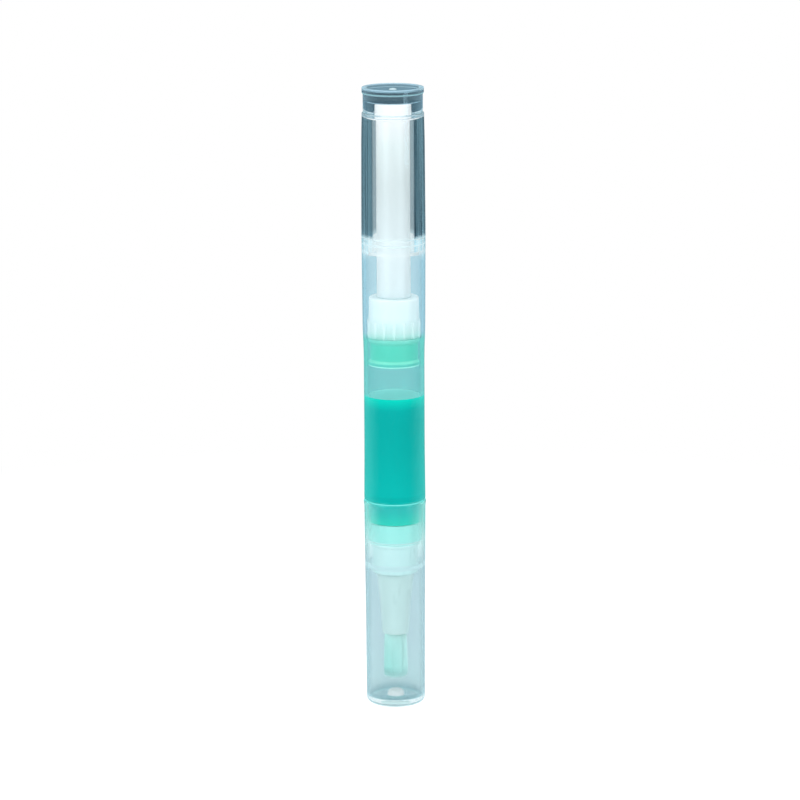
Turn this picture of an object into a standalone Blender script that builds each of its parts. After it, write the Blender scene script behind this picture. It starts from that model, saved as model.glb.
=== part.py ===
"""A twist-up oil pen with a brush tip, standing upright on its cap.

Metres, +Z up. The origin is the centre of the cap's foot, and every piece turns about the Z axis.
Turning the knob clockwise, seen from its end, screws the rod down through the nut, and the rod
pushes the piston, which drives the oil through the feed tube into the brush.
"""

import math

import bmesh
import bpy
from mathutils import Matrix, Vector

MM = 0.001

# Fits and facets
CLEARANCE = 0.3 * MM  # between pieces that touch
OVERRUN = 1.0 * MM  # how far a cutter runs past the face that it cuts
MERGE = 0.01 * MM  # points this close are one point
ROUND_SIDES = 32  # facets round a turned piece
FINE_SIDES = 12  # facets round a piece a few millimetres wide
ARC_STEPS = 4  # straight steps in a rounded corner

# Cap
CAP_LENGTH = 55.5 * MM
CAP_FOOT_RADIUS = 7.75 * MM
CAP_WAIST_RADIUS = 7.86 * MM
CAP_RIM_RADIUS = 8.08 * MM
CAP_BEAD = 0.14 * MM  # how far the bead at the rim stands proud
CAP_BEAD_HEIGHT = 1.6 * MM
CAP_FLOOR = 1.9 * MM
CAP_CORNER = 1.4 * MM
CAP_INNER_CORNER = 0.7 * MM
CAP_BORE_RADIUS = 6.9 * MM
CAP_MOUTH_RADIUS = 7.4 * MM
CAP_MOUTH_DEPTH = 17.2 * MM  # from the rim down to the ledge inside
CAP_WAIST_SHARE = 0.42  # height of the waist, as a share of the length
GATE_RADIUS = 2.0 * MM
GATE_DEPTH = 0.4 * MM

# Barrel
BARREL_LENGTH = 70.05 * MM  # what shows between the cap and the knob
BARREL_FOOT_RADIUS = 8.1 * MM
BARREL_WAIST_RADIUS = 7.96 * MM
BARREL_RIM_RADIUS = 8.36 * MM
BARREL_WAIST_SHARES = (0.19, 0.56)  # the straight waist, as shares of the length
BARREL_FLARE_SHARE = 0.65  # where the outside has stepped out to its upper part
BARREL_FLARE_RADIUS = 8.21 * MM
BARREL_BORE_RADIUS = 7.0 * MM
BARREL_UPPER_BORE_RADIUS = 7.3 * MM
BARREL_LEDGE_DEPTH = 26.45 * MM  # from the rim down to the nut's ledge
RIM_CHAMFER = 0.25 * MM
NECK_LENGTH = 11.1 * MM  # inside the cap
NECK_WALL = 1.0 * MM
NECK_FUNNEL = 1.5 * MM  # height of the funnel from the neck's bore out to the barrel's

# Snap joint between barrel and knob
SPIGOT_LENGTH = 4.15 * MM
SPIGOT_RADIUS = 7.25 * MM
SNAP_BEAD = 0.5 * MM  # how far the bead stands out of the spigot
SNAP_BEAD_HEIGHT = 0.5 * MM
SNAP_BEAD_RISE = 1.9 * MM  # from the spigot's end up to the bead's lower edge
SNAP_GAP = 0.19 * MM  # from the bead out to the groove's floor

# Guide nut
NUT_HEIGHT = 10.3 * MM
NUT_FLANGE_RADIUS = 6.55 * MM
NUT_FLANGE_HEIGHT = 2.0 * MM
NUT_CONE_RADIUS = 5.65 * MM
NUT_STEM_RADIUS = 4.8 * MM
NUT_STEM_LENGTH = 3.9 * MM
NUT_RIBS = 16
NUT_RIB_WIDTH = 0.6 * MM
NUT_RIB_LAP = 0.25 * MM  # how far a rib runs into the stem and the cone

# Screw thread
LEAD = 5.0 * MM
STARTS = 2
THREAD_MAJOR_RADIUS = 2.7 * MM
THREAD_ROOT_RADIUS = 2.1 * MM
CREST_SHARE = 0.3  # of the pitch, at the crest
FLANK_SHARE = 0.14  # of the pitch, on each flank
STEPS_A_TURN = 12
ROD_CREST_STEPS = 2  # straight steps across a crest of the rod's thread
NUT_CREST_STEPS = 4

# Piston
PISTON_HEIGHT = 7.6 * MM
PISTON_LIP_GAP = 0.22 * MM  # from a lip to the barrel
PISTON_LIP_HEIGHT = 0.9 * MM
PISTON_WAIST = 0.5 * MM  # how far the waist between the lips is drawn in
PISTON_WALL = 0.9 * MM
PISTON_NOSE_RADIUS = 5.6 * MM
PISTON_NOSE_HEIGHT = 1.0 * MM
PISTON_HUB_RADIUS = 3.5 * MM
PISTON_WELL_DEPTH = 4.6 * MM
LIP_STOP = 0.5 * MM  # straight bore left under the lips at the end of the stroke

# Rod
BUTTON_RADIUS = 2.0 * MM
BUTTON_HEIGHT = 2.2 * MM
BUTTON_NECK_RADIUS = 1.4 * MM
BUTTON_NECK_LENGTH = 0.8 * MM
KEY_CORE_RADIUS = 2.9 * MM
KEY_REACH = 3.5 * MM
KEY_WIDTH = 1.6 * MM
KEY_LENGTH = 7.0 * MM
KEY_STOP = 1.2 * MM  # sleeve left under the key at the end of the stroke
KEY_INSET = 0.3 * MM  # from the core's ends to the wings' ends

# Drive sleeve
SLEEVE_RADIUS = 4.42 * MM
SLEEVE_HEAD_RADIUS = 4.75 * MM
SLEEVE_HEAD_LENGTH = 4.0 * MM
SLEEVE_CROWN = 2.0 * MM
SLEEVE_HEADROOM = 5.5 * MM  # from the rod's end up to the sleeve's roof
SLEEVE_CHAMFER = 0.35 * MM
SLEEVE_REACH = 2.6 * MM  # how far it stands above the knob's tube

# Knob
KNOB_BORE_RADIUS = 5.5 * MM
KNOB_FOOT_RADIUS = 8.4 * MM
KNOB_RIM_RADIUS = 8.08 * MM
KNOB_SHOULDER_SHARE = 0.8  # height of the upper shoulder, as a share of the tube
KNOB_SHOULDER_RADIUS = 8.24 * MM
KNOB_SOCKET_RADIUS = 6.6 * MM
KNOB_SOCKET_DEPTH = 1.4 * MM

# End plug
PLUG_NECK_RADIUS = 7.8 * MM
PLUG_NECK_LENGTH = 4.7 * MM
PLUG_FLANGE_RADIUS = 8.07 * MM
PLUG_FLANGE_HEIGHT = 1.6 * MM
PLUG_RIM_WIDTH = 1.1 * MM
PLUG_DISH_DEPTH = 0.8 * MM
PLUG_DISH_SLOPE = 0.7 * MM
PLUG_GATE_RADIUS = 0.9 * MM
PLUG_GATE_DEPTH = 0.3 * MM

# Brush collar
COLLAR_SPIGOT_LENGTH = 5.0 * MM
COLLAR_FLANGE_RADIUS = 6.6 * MM
COLLAR_FLANGE_HEIGHT = 0.8 * MM
COLLAR_RADIUS = 5.68 * MM
COLLAR_BODY_LENGTH = 7.4 * MM
COLLAR_BORE_RADIUS = 4.7 * MM
COLLAR_ROOF = 1.9 * MM

# Brush ferrule
FERRULE_LENGTH = 16.6 * MM
FERRULE_TOP_RADIUS = 4.85 * MM
FERRULE_BAND = 0.7 * MM  # straight band above the taper
FERRULE_MIDDLE_RADIUS = 4.0 * MM
FERRULE_MIDDLE_SHARE = 0.5
FERRULE_MOUTH_RADIUS = 3.5 * MM
FERRULE_MOUTH_WALL = 0.35 * MM
FERRULE_MOUTH_DEPTH = 2.0 * MM
FERRULE_WEB = 1.6 * MM  # above the brush's backing, where the feed tube passes
FERRULE_WALL = 1.0 * MM

# Feed tube
TUBE_RADIUS = 0.9 * MM
TUBE_BORE_RADIUS = 0.45 * MM
TUBE_TOP_GAP = 0.4 * MM  # from the collar's top down to the tube's end
TUBE_BELOW_FERRULE = 1.4 * MM

# Brush
STRANDS = 320
STRAND_RADIUS = 0.075 * MM
STRAND_TIP_RADIUS = 0.03 * MM
STRAND_SIDES = 3
STRAND_ROOT = 0.4 * MM  # how far a strand is set into the backing
BACKING_THICKNESS = 1.3 * MM
BACKING_GAP = 0.2 * MM  # from the backing to the ferrule
BACKING_EDGE = 0.15 * MM  # from the outermost strand's middle to the backing's edge
BRUSH_TIP_GAP = 4.8 * MM  # from the cap's floor up to the brush's tip
BRUSH_TIP_RADIUS = 3.1 * MM
BRUSH_HEART_RADIUS = 0.25 * MM  # the innermost strands at the tip
BRUSH_DOME = 1.7 * MM  # how much shorter the outermost strands are
GOLDEN_ANGLE = math.pi * (3 - math.sqrt(5))

# Oil
AIR_GAP = 7.8 * MM  # from the oil's level up to the piston
MENISCUS = 0.45 * MM  # how far the oil climbs at the wall
MENISCUS_WIDTH = 1.2 * MM

# Heights worked out from the sizes above
CAP_LEDGE_Z = CAP_LENGTH - CAP_MOUTH_DEPTH
SHOULDER_Z = CAP_LENGTH + CLEARANCE
BARREL_TOP_Z = SHOULDER_Z + BARREL_LENGTH
NECK_END_Z = CAP_LENGTH - NECK_LENGTH
FUNNEL_TOP_Z = SHOULDER_Z + NECK_FUNNEL
LEDGE_Z = BARREL_TOP_Z - BARREL_LEDGE_DEPTH
NUT_FOOT_Z = LEDGE_Z + CLEARANCE
NUT_TOP_Z = NUT_FOOT_Z + NUT_HEIGHT
PISTON_TOP_Z = NUT_FOOT_Z - CLEARANCE
PISTON_FOOT_Z = PISTON_TOP_Z - PISTON_HEIGHT
OIL_LEVEL_Z = PISTON_FOOT_Z - AIR_GAP
COLLAR_TOP_Z = NECK_END_Z + COLLAR_SPIGOT_LENGTH
COLLAR_FLANGE_Z = NECK_END_Z - CLEARANCE
COLLAR_FOOT_Z = COLLAR_FLANGE_Z - COLLAR_FLANGE_HEIGHT - COLLAR_BODY_LENGTH
FERRULE_SHOULDER_Z = COLLAR_FOOT_Z - CLEARANCE
FERRULE_MOUTH_Z = FERRULE_SHOULDER_Z - FERRULE_LENGTH
BRUSH_TIP_Z = CAP_FLOOR + BRUSH_TIP_GAP
STROKE = PISTON_FOOT_Z + PISTON_NOSE_HEIGHT - FUNNEL_TOP_Z - LIP_STOP
SLEEVE_FOOT_Z = NUT_TOP_Z + CLEARANCE
KEY_FOOT_Z = SLEEVE_FOOT_Z + STROKE + KEY_STOP
ROD_TOP_Z = KEY_FOOT_Z + KEY_LENGTH
SLEEVE_ROOF_Z = ROD_TOP_Z + SLEEVE_HEADROOM
SLEEVE_TOP_Z = SLEEVE_ROOF_Z + SLEEVE_CROWN
KNOB_FOOT_Z = BARREL_TOP_Z + CLEARANCE
KNOB_TOP_Z = SLEEVE_TOP_Z - SLEEVE_REACH
SPIGOT_END_Z = KNOB_FOOT_Z - SPIGOT_LENGTH
PLUG_FOOT_Z = KNOB_TOP_Z + CLEARANCE
PLUG_FLANGE_Z = PLUG_FOOT_Z + PLUG_NECK_LENGTH
PLUG_TOP_Z = PLUG_FLANGE_Z + PLUG_FLANGE_HEIGHT

# Radii worked out from the sizes above
NECK_RADIUS = CAP_MOUTH_RADIUS - CLEARANCE
NECK_BORE_RADIUS = NECK_RADIUS - NECK_WALL
MOUTH_BORE_RADIUS = SPIGOT_RADIUS + CLEARANCE
BEAD_RADIUS = SPIGOT_RADIUS + SNAP_BEAD
SLEEVE_BORE_RADIUS = KEY_CORE_RADIUS + CLEARANCE
TUBE_HOLE_RADIUS = TUBE_RADIUS + CLEARANCE


def clear_scene():
    """Remove whatever the scene holds."""
    for thing in list(bpy.data.objects):
        bpy.data.objects.remove(thing)


def new_collection(name):
    """A collection in the scene."""
    group = bpy.data.collections.new(name)
    bpy.context.scene.collection.children.link(group)
    return group


def plastic(name, colour, roughness, alpha=1.0):
    """A plastic or liquid finish."""
    finish = bpy.data.materials.new(name)
    finish.use_nodes = True
    shader = finish.node_tree.nodes["Principled BSDF"]
    shader.inputs["Base Color"].default_value = (*colour, 1.0)
    shader.inputs["Roughness"].default_value = roughness
    shader.inputs["Metallic"].default_value = 0.0
    shader.inputs["Alpha"].default_value = alpha
    return finish


def new_object(name, mesh, group, finish=None):
    """An object that shows a mesh."""
    thing = bpy.data.objects.new(name, mesh)
    group.objects.link(thing)
    if finish:
        mesh.materials.append(finish)
    return thing


def new_tool(name, mesh, group):
    """An object that only cuts or joins, and is not part of the pen."""
    tool = new_object(name, mesh, group)
    tool.hide_render = True
    tool.display_type = "WIRE"
    return tool


def mesh_from(name, bm):
    """A mesh that takes what a bmesh holds, shaded smooth but for its sharp edges."""
    mesh = bpy.data.meshes.new(name)
    bmesh.ops.recalc_face_normals(bm, faces=bm.faces)
    bm.to_mesh(mesh)
    bm.free()
    if mesh.polygons:
        mesh.shade_smooth()
        mesh.set_sharp_from_angle(angle=math.radians(35))
    return mesh


def outline_mesh(name, outline):
    """A wire of (radius, height) points. It closes on itself unless both its ends are on the axis."""
    bm = bmesh.new()
    points = [bm.verts.new((radius, 0, height)) for radius, height in outline]
    for start, end in zip(points, points[1:]):
        bm.edges.new((start, end))
    if outline[0][0] > 0 or outline[-1][0] > 0:
        bm.edges.new((points[-1], points[0]))
    mesh = bpy.data.meshes.new(name)
    bm.to_mesh(mesh)
    bm.free()
    return mesh


def turn(thing, sides=ROUND_SIDES):
    """Turn an object's outline about the Z axis into a solid."""
    lathe = thing.modifiers.new("Turned", "SCREW")
    lathe.axis = "Z"
    lathe.steps = sides
    lathe.render_steps = sides
    lathe.use_merge_vertices = True
    lathe.merge_threshold = MERGE
    lathe.use_smooth_shade = True
    return thing


def boolean(thing, tool, operation):
    """Cut an object with a tool, or join the tool to it."""
    step = thing.modifiers.new(tool.name, "BOOLEAN")
    step.object = tool
    step.operation = operation
    step.solver = "EXACT"


def corner(centre_radius, centre_height, size, start, end):
    """Points of a rounded corner, from one angle to another, in degrees from outwards."""
    points = []
    for step in range(ARC_STEPS + 1):
        angle = math.radians(start + (end - start) * step / ARC_STEPS)
        radius = centre_radius + size * math.cos(angle)
        points.append((radius, centre_height + size * math.sin(angle)))
    return points


def box(bm, low, high, turned_by=0.0):
    """Add a box between two corners, turned about the Z axis."""
    low, high = Vector(low), Vector(high)
    placed = Matrix.Rotation(turned_by, 4, "Z") @ Matrix.Translation((low + high) / 2)
    bmesh.ops.create_cube(bm, size=1, matrix=placed @ Matrix.Diagonal((*(high - low), 1)))


def thread_section(gap, crest_steps):
    """The screw's cross-section, which one turn of the lead turns once, grown by a gap all round."""
    pitch = LEAD / STARTS
    crest = (CREST_SHARE / 2 + gap / pitch) * 2 * math.pi / STARTS
    root = (CREST_SHARE / 2 + FLANK_SHARE + gap / pitch) * 2 * math.pi / STARTS
    half = math.pi / STARTS
    points = []
    for start in range(STARTS):
        middle = 2 * half * start
        for step in range(crest_steps + 1):
            across = 2 * step / crest_steps - 1
            points.append((THREAD_MAJOR_RADIUS + gap, middle + across * crest))
        for angle in (root, half, 2 * half - root):
            points.append((THREAD_ROOT_RADIUS + gap, middle + angle))
    return [(radius * math.cos(angle), radius * math.sin(angle)) for radius, angle in points]


def screw_mesh(name, low, high, gap, crest_steps):
    """A right-hand screw between two heights. Screws of any length and gap are in step."""
    bm = bmesh.new()
    turned_by = 2 * math.pi * low / LEAD
    section = thread_section(gap, crest_steps)
    bottom = [Matrix.Rotation(turned_by, 3, "Z") @ Vector((x, y, low)) for x, y in section]
    face = bm.faces.new([bm.verts.new(point) for point in bottom])
    turns = (high - low) / LEAD
    steps = max(1, round(turns * STEPS_A_TURN))
    bmesh.ops.spin(
        bm,
        geom=[face],
        cent=(0, 0, 0),
        axis=(0, 0, 1),
        dvec=(0, 0, (high - low) / steps),
        angle=2 * math.pi * turns,
        steps=steps,
    )
    return mesh_from(name, bm)


def cap_outline():
    """From the floor up the inside, over the rim and down the outside to the gate mark."""
    waist_z = CAP_LENGTH * CAP_WAIST_SHARE
    bead_z = CAP_LENGTH - CAP_BEAD_HEIGHT
    inner = corner(CAP_BORE_RADIUS - CAP_INNER_CORNER, CAP_FLOOR + CAP_INNER_CORNER, CAP_INNER_CORNER, -90, 0)
    foot = corner(CAP_FOOT_RADIUS - CAP_CORNER, CAP_CORNER, CAP_CORNER, 0, -90)
    return [
        (0, CAP_FLOOR),
        *inner,
        (CAP_BORE_RADIUS, CAP_LEDGE_Z),
        (CAP_MOUTH_RADIUS, CAP_LEDGE_Z),
        (CAP_MOUTH_RADIUS, CAP_LENGTH),
        (CAP_RIM_RADIUS, CAP_LENGTH),
        (CAP_RIM_RADIUS + CAP_BEAD, CAP_LENGTH - CAP_BEAD_HEIGHT / 4),
        (CAP_RIM_RADIUS + CAP_BEAD, CAP_LENGTH - CAP_BEAD_HEIGHT / 2),
        (CAP_RIM_RADIUS, bead_z),
        (CAP_WAIST_RADIUS, waist_z),
        *foot,
        (GATE_RADIUS, 0),
        (GATE_RADIUS, GATE_DEPTH),
        (0, GATE_DEPTH),
    ]


def barrel_outline():
    """Down the outside from the rim to the neck's end, and up the bore to the snap groove."""
    low_share, high_share = BARREL_WAIST_SHARES
    groove_foot = SPIGOT_END_Z + SNAP_BEAD_RISE - CLEARANCE
    groove_top = groove_foot + SNAP_BEAD_HEIGHT + 2 * CLEARANCE
    groove_radius = BEAD_RADIUS + SNAP_GAP
    mouth_floor = SPIGOT_END_Z - CLEARANCE
    return [
        (BARREL_RIM_RADIUS - RIM_CHAMFER, BARREL_TOP_Z),
        (BARREL_RIM_RADIUS, BARREL_TOP_Z - RIM_CHAMFER),
        (BARREL_FLARE_RADIUS, SHOULDER_Z + BARREL_FLARE_SHARE * BARREL_LENGTH),
        (BARREL_WAIST_RADIUS, SHOULDER_Z + high_share * BARREL_LENGTH),
        (BARREL_WAIST_RADIUS, SHOULDER_Z + low_share * BARREL_LENGTH),
        (BARREL_FOOT_RADIUS, SHOULDER_Z + RIM_CHAMFER),
        (BARREL_FOOT_RADIUS - RIM_CHAMFER, SHOULDER_Z),
        (NECK_RADIUS, SHOULDER_Z),
        (NECK_RADIUS, NECK_END_Z + RIM_CHAMFER),
        (NECK_RADIUS - RIM_CHAMFER, NECK_END_Z),
        (NECK_BORE_RADIUS, NECK_END_Z),
        (NECK_BORE_RADIUS, SHOULDER_Z),
        (BARREL_BORE_RADIUS, FUNNEL_TOP_Z),
        (BARREL_BORE_RADIUS, LEDGE_Z),
        (BARREL_UPPER_BORE_RADIUS, LEDGE_Z),
        (BARREL_UPPER_BORE_RADIUS, mouth_floor),
        (MOUTH_BORE_RADIUS, mouth_floor),
        (MOUTH_BORE_RADIUS, groove_foot),
        (groove_radius, groove_foot),
        (groove_radius, groove_top),
        (MOUTH_BORE_RADIUS, groove_top),
        (MOUTH_BORE_RADIUS, BARREL_TOP_Z),
    ]


def knob_outline():
    """Down the outside of the tube and its spigot, and up the bore to the plug's socket."""
    shoulder_z = KNOB_FOOT_Z + KNOB_SHOULDER_SHARE * (KNOB_TOP_Z - KNOB_FOOT_Z)
    bead_foot = SPIGOT_END_Z + SNAP_BEAD_RISE
    bead_top = bead_foot + SNAP_BEAD_HEIGHT
    return [
        (KNOB_RIM_RADIUS - RIM_CHAMFER, KNOB_TOP_Z),
        (KNOB_RIM_RADIUS, KNOB_TOP_Z - RIM_CHAMFER),
        (KNOB_SHOULDER_RADIUS, shoulder_z),
        (KNOB_FOOT_RADIUS, KNOB_FOOT_Z + RIM_CHAMFER),
        (KNOB_FOOT_RADIUS - RIM_CHAMFER, KNOB_FOOT_Z),
        (SPIGOT_RADIUS, KNOB_FOOT_Z),
        (SPIGOT_RADIUS, bead_top + SNAP_BEAD_HEIGHT / 2),
        (BEAD_RADIUS, bead_top),
        (BEAD_RADIUS, bead_foot),
        (SPIGOT_RADIUS, bead_foot - SNAP_BEAD_HEIGHT),
        (SPIGOT_RADIUS, SPIGOT_END_Z + RIM_CHAMFER),
        (SPIGOT_RADIUS - RIM_CHAMFER, SPIGOT_END_Z),
        (KNOB_BORE_RADIUS, SPIGOT_END_Z),
        (KNOB_BORE_RADIUS, KNOB_TOP_Z - KNOB_SOCKET_DEPTH),
        (KNOB_SOCKET_RADIUS, KNOB_TOP_Z - KNOB_SOCKET_DEPTH),
        (KNOB_SOCKET_RADIUS, KNOB_TOP_Z),
    ]


def plug_outline():
    """From the gate mark across the dish, down the outside, and up the socket for the sleeve."""
    dish_z = PLUG_TOP_Z - PLUG_DISH_DEPTH
    rim_radius = PLUG_FLANGE_RADIUS - PLUG_RIM_WIDTH
    foot_z = KNOB_TOP_Z - KNOB_SOCKET_DEPTH + CLEARANCE
    socket_radius = SLEEVE_HEAD_RADIUS + CLEARANCE
    spigot_radius = KNOB_SOCKET_RADIUS - CLEARANCE
    return [
        (0, dish_z - PLUG_GATE_DEPTH),
        (PLUG_GATE_RADIUS, dish_z - PLUG_GATE_DEPTH),
        (PLUG_GATE_RADIUS, dish_z),
        (rim_radius - PLUG_DISH_SLOPE, dish_z),
        (rim_radius, PLUG_TOP_Z),
        (PLUG_FLANGE_RADIUS - RIM_CHAMFER, PLUG_TOP_Z),
        (PLUG_FLANGE_RADIUS, PLUG_TOP_Z - RIM_CHAMFER),
        (PLUG_FLANGE_RADIUS, PLUG_FLANGE_Z),
        (PLUG_NECK_RADIUS, PLUG_FLANGE_Z),
        (PLUG_NECK_RADIUS, PLUG_FOOT_Z),
        (spigot_radius, PLUG_FOOT_Z),
        (spigot_radius, foot_z),
        (socket_radius, foot_z),
        (socket_radius, SLEEVE_TOP_Z + CLEARANCE),
        (0, SLEEVE_TOP_Z + CLEARANCE),
    ]


def sleeve_outline():
    """Over the closed head, down the outside, and up the bore to the roof."""
    head_foot = SLEEVE_TOP_Z - SLEEVE_HEAD_LENGTH
    return [
        (0, SLEEVE_TOP_Z),
        (SLEEVE_HEAD_RADIUS - SLEEVE_CHAMFER, SLEEVE_TOP_Z),
        (SLEEVE_HEAD_RADIUS, SLEEVE_TOP_Z - SLEEVE_CHAMFER),
        (SLEEVE_HEAD_RADIUS, head_foot),
        (SLEEVE_RADIUS, head_foot - SLEEVE_CHAMFER),
        (SLEEVE_RADIUS, SLEEVE_FOOT_Z),
        (SLEEVE_BORE_RADIUS, SLEEVE_FOOT_Z),
        (SLEEVE_BORE_RADIUS, SLEEVE_ROOF_Z),
        (0, SLEEVE_ROOF_Z),
    ]


def nut_outline():
    """The nut as a solid piece: flange, cone and stem, before its thread is cut."""
    cone_foot = NUT_FOOT_Z + NUT_STEM_LENGTH
    flange_foot = NUT_TOP_Z - NUT_FLANGE_HEIGHT
    return [
        (0, NUT_TOP_Z),
        (NUT_FLANGE_RADIUS - SLEEVE_CHAMFER, NUT_TOP_Z),
        (NUT_FLANGE_RADIUS, NUT_TOP_Z - SLEEVE_CHAMFER),
        (NUT_FLANGE_RADIUS, flange_foot),
        (NUT_CONE_RADIUS, cone_foot),
        (NUT_STEM_RADIUS, cone_foot),
        (NUT_STEM_RADIUS, NUT_FOOT_Z),
        (0, NUT_FOOT_Z),
    ]


def piston_outline():
    """From the socket for the rod's button, over the hub and skirt, down the lips to the nose."""
    lip_radius = BARREL_BORE_RADIUS - PISTON_LIP_GAP
    waist_radius = lip_radius - PISTON_WAIST
    skirt_bore = waist_radius - PISTON_WALL
    nose_top = PISTON_FOOT_Z + PISTON_NOSE_HEIGHT
    upper_lip_foot = PISTON_TOP_Z - PISTON_LIP_HEIGHT
    lower_lip_top = nose_top + PISTON_LIP_HEIGHT
    socket_radius = BUTTON_RADIUS + CLEARANCE
    mouth_radius = BUTTON_NECK_RADIUS + CLEARANCE
    return [
        (0, button_foot() - CLEARANCE),
        (socket_radius, button_foot() - CLEARANCE),
        (socket_radius, button_foot() + BUTTON_HEIGHT + CLEARANCE),
        (mouth_radius, button_foot() + BUTTON_HEIGHT + CLEARANCE),
        (mouth_radius, PISTON_TOP_Z),
        (PISTON_HUB_RADIUS, PISTON_TOP_Z),
        (PISTON_HUB_RADIUS, PISTON_TOP_Z - PISTON_WELL_DEPTH),
        (skirt_bore, PISTON_TOP_Z - PISTON_WELL_DEPTH),
        (skirt_bore, PISTON_TOP_Z),
        (lip_radius, PISTON_TOP_Z),
        (lip_radius, upper_lip_foot),
        (waist_radius, upper_lip_foot - PISTON_WAIST),
        (waist_radius, lower_lip_top + PISTON_WAIST),
        (lip_radius, lower_lip_top),
        (lip_radius, nose_top),
        (PISTON_NOSE_RADIUS, PISTON_FOOT_Z),
        (0, PISTON_FOOT_Z),
    ]


def button_foot():
    """The height of the lower face of the rod's button."""
    return PISTON_TOP_Z + CLEARANCE - BUTTON_NECK_LENGTH - BUTTON_HEIGHT


def button_outline():
    """The button and its neck, run up into the screw."""
    foot = button_foot()
    return [
        (0, NUT_FOOT_Z + OVERRUN),
        (BUTTON_NECK_RADIUS, NUT_FOOT_Z + OVERRUN),
        (BUTTON_NECK_RADIUS, foot + BUTTON_HEIGHT),
        (BUTTON_RADIUS, foot + BUTTON_HEIGHT),
        (BUTTON_RADIUS, foot + CLEARANCE),
        (BUTTON_RADIUS - CLEARANCE, foot),
        (0, foot),
    ]


def collar_outline():
    """Down the spigot, flange and body, and up the bore to the tube's hole."""
    spigot_radius = NECK_BORE_RADIUS - CLEARANCE
    flange_foot = COLLAR_FLANGE_Z - COLLAR_FLANGE_HEIGHT
    roof_z = COLLAR_TOP_Z - COLLAR_ROOF
    return [
        (spigot_radius - RIM_CHAMFER, COLLAR_TOP_Z),
        (spigot_radius, COLLAR_TOP_Z - RIM_CHAMFER),
        (spigot_radius, COLLAR_FLANGE_Z),
        (COLLAR_FLANGE_RADIUS, COLLAR_FLANGE_Z),
        (COLLAR_FLANGE_RADIUS, flange_foot),
        (COLLAR_RADIUS, flange_foot),
        (COLLAR_RADIUS, COLLAR_FOOT_Z + RIM_CHAMFER),
        (COLLAR_RADIUS - RIM_CHAMFER, COLLAR_FOOT_Z),
        (COLLAR_BORE_RADIUS, COLLAR_FOOT_Z),
        (COLLAR_BORE_RADIUS, roof_z),
        (TUBE_HOLE_RADIUS, roof_z),
        (TUBE_HOLE_RADIUS, COLLAR_TOP_Z),
    ]


def ferrule_outline():
    """Down the shank and the taper to the mouth, and up through the web and the hollow above it."""
    shank_radius = COLLAR_BORE_RADIUS - CLEARANCE
    top_z = COLLAR_TOP_Z - COLLAR_ROOF - CLEARANCE
    middle_height = FERRULE_MIDDLE_SHARE * FERRULE_LENGTH
    middle_z = FERRULE_MOUTH_Z + middle_height
    mouth_bore = FERRULE_MOUTH_RADIUS - FERRULE_MOUTH_WALL
    web_height = FERRULE_MOUTH_DEPTH + FERRULE_WEB
    web_z = FERRULE_MOUTH_Z + web_height
    taper = (FERRULE_MIDDLE_RADIUS - FERRULE_MOUTH_RADIUS) / middle_height
    return [
        (shank_radius - RIM_CHAMFER, top_z),
        (shank_radius, top_z - RIM_CHAMFER),
        (shank_radius, FERRULE_SHOULDER_Z),
        (FERRULE_TOP_RADIUS, FERRULE_SHOULDER_Z),
        (FERRULE_TOP_RADIUS, FERRULE_SHOULDER_Z - FERRULE_BAND),
        (FERRULE_MIDDLE_RADIUS, middle_z),
        (FERRULE_MOUTH_RADIUS, FERRULE_MOUTH_Z),
        (mouth_bore, FERRULE_MOUTH_Z),
        (mouth_bore, FERRULE_MOUTH_Z + FERRULE_MOUTH_DEPTH),
        (TUBE_HOLE_RADIUS, FERRULE_MOUTH_Z + FERRULE_MOUTH_DEPTH),
        (TUBE_HOLE_RADIUS, web_z),
        (FERRULE_MOUTH_RADIUS + taper * web_height - FERRULE_WALL, web_z),
        (FERRULE_MIDDLE_RADIUS - FERRULE_WALL, middle_z),
        (shank_radius - FERRULE_WALL, FERRULE_SHOULDER_Z),
        (shank_radius - FERRULE_WALL, top_z),
    ]


def tube_outline():
    """The feed tube's wall."""
    top_z = COLLAR_TOP_Z - TUBE_TOP_GAP
    end_z = FERRULE_MOUTH_Z - TUBE_BELOW_FERRULE
    return [(TUBE_RADIUS, top_z), (TUBE_RADIUS, end_z), (TUBE_BORE_RADIUS, end_z), (TUBE_BORE_RADIUS, top_z)]


def oil_outline():
    """The oil from its level to the collar, clear of the barrel's wall and funnel."""
    radius = BARREL_BORE_RADIUS - CLEARANCE
    neck_radius = NECK_BORE_RADIUS - CLEARANCE
    return [
        (0, OIL_LEVEL_Z),
        (radius - MENISCUS_WIDTH, OIL_LEVEL_Z),
        (radius, OIL_LEVEL_Z + MENISCUS),
        (radius, FUNNEL_TOP_Z),
        (neck_radius, SHOULDER_Z),
        (neck_radius, COLLAR_TOP_Z + CLEARANCE),
        (0, COLLAR_TOP_Z + CLEARANCE),
    ]


def backing_z():
    """The lower and upper faces of the brush's backing."""
    top = FERRULE_MOUTH_Z + FERRULE_MOUTH_DEPTH - CLEARANCE
    return top - BACKING_THICKNESS, top


def backing_radii():
    """The inner and outer radii of the brush's backing."""
    return TUBE_HOLE_RADIUS, FERRULE_MOUTH_RADIUS - FERRULE_MOUTH_WALL - BACKING_GAP


def backing_outline():
    """The slice of backing that the strands are fused to."""
    inner, outer = backing_radii()
    low, high = backing_z()
    return [(outer, high), (outer, low), (inner, low), (inner, high)]


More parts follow.
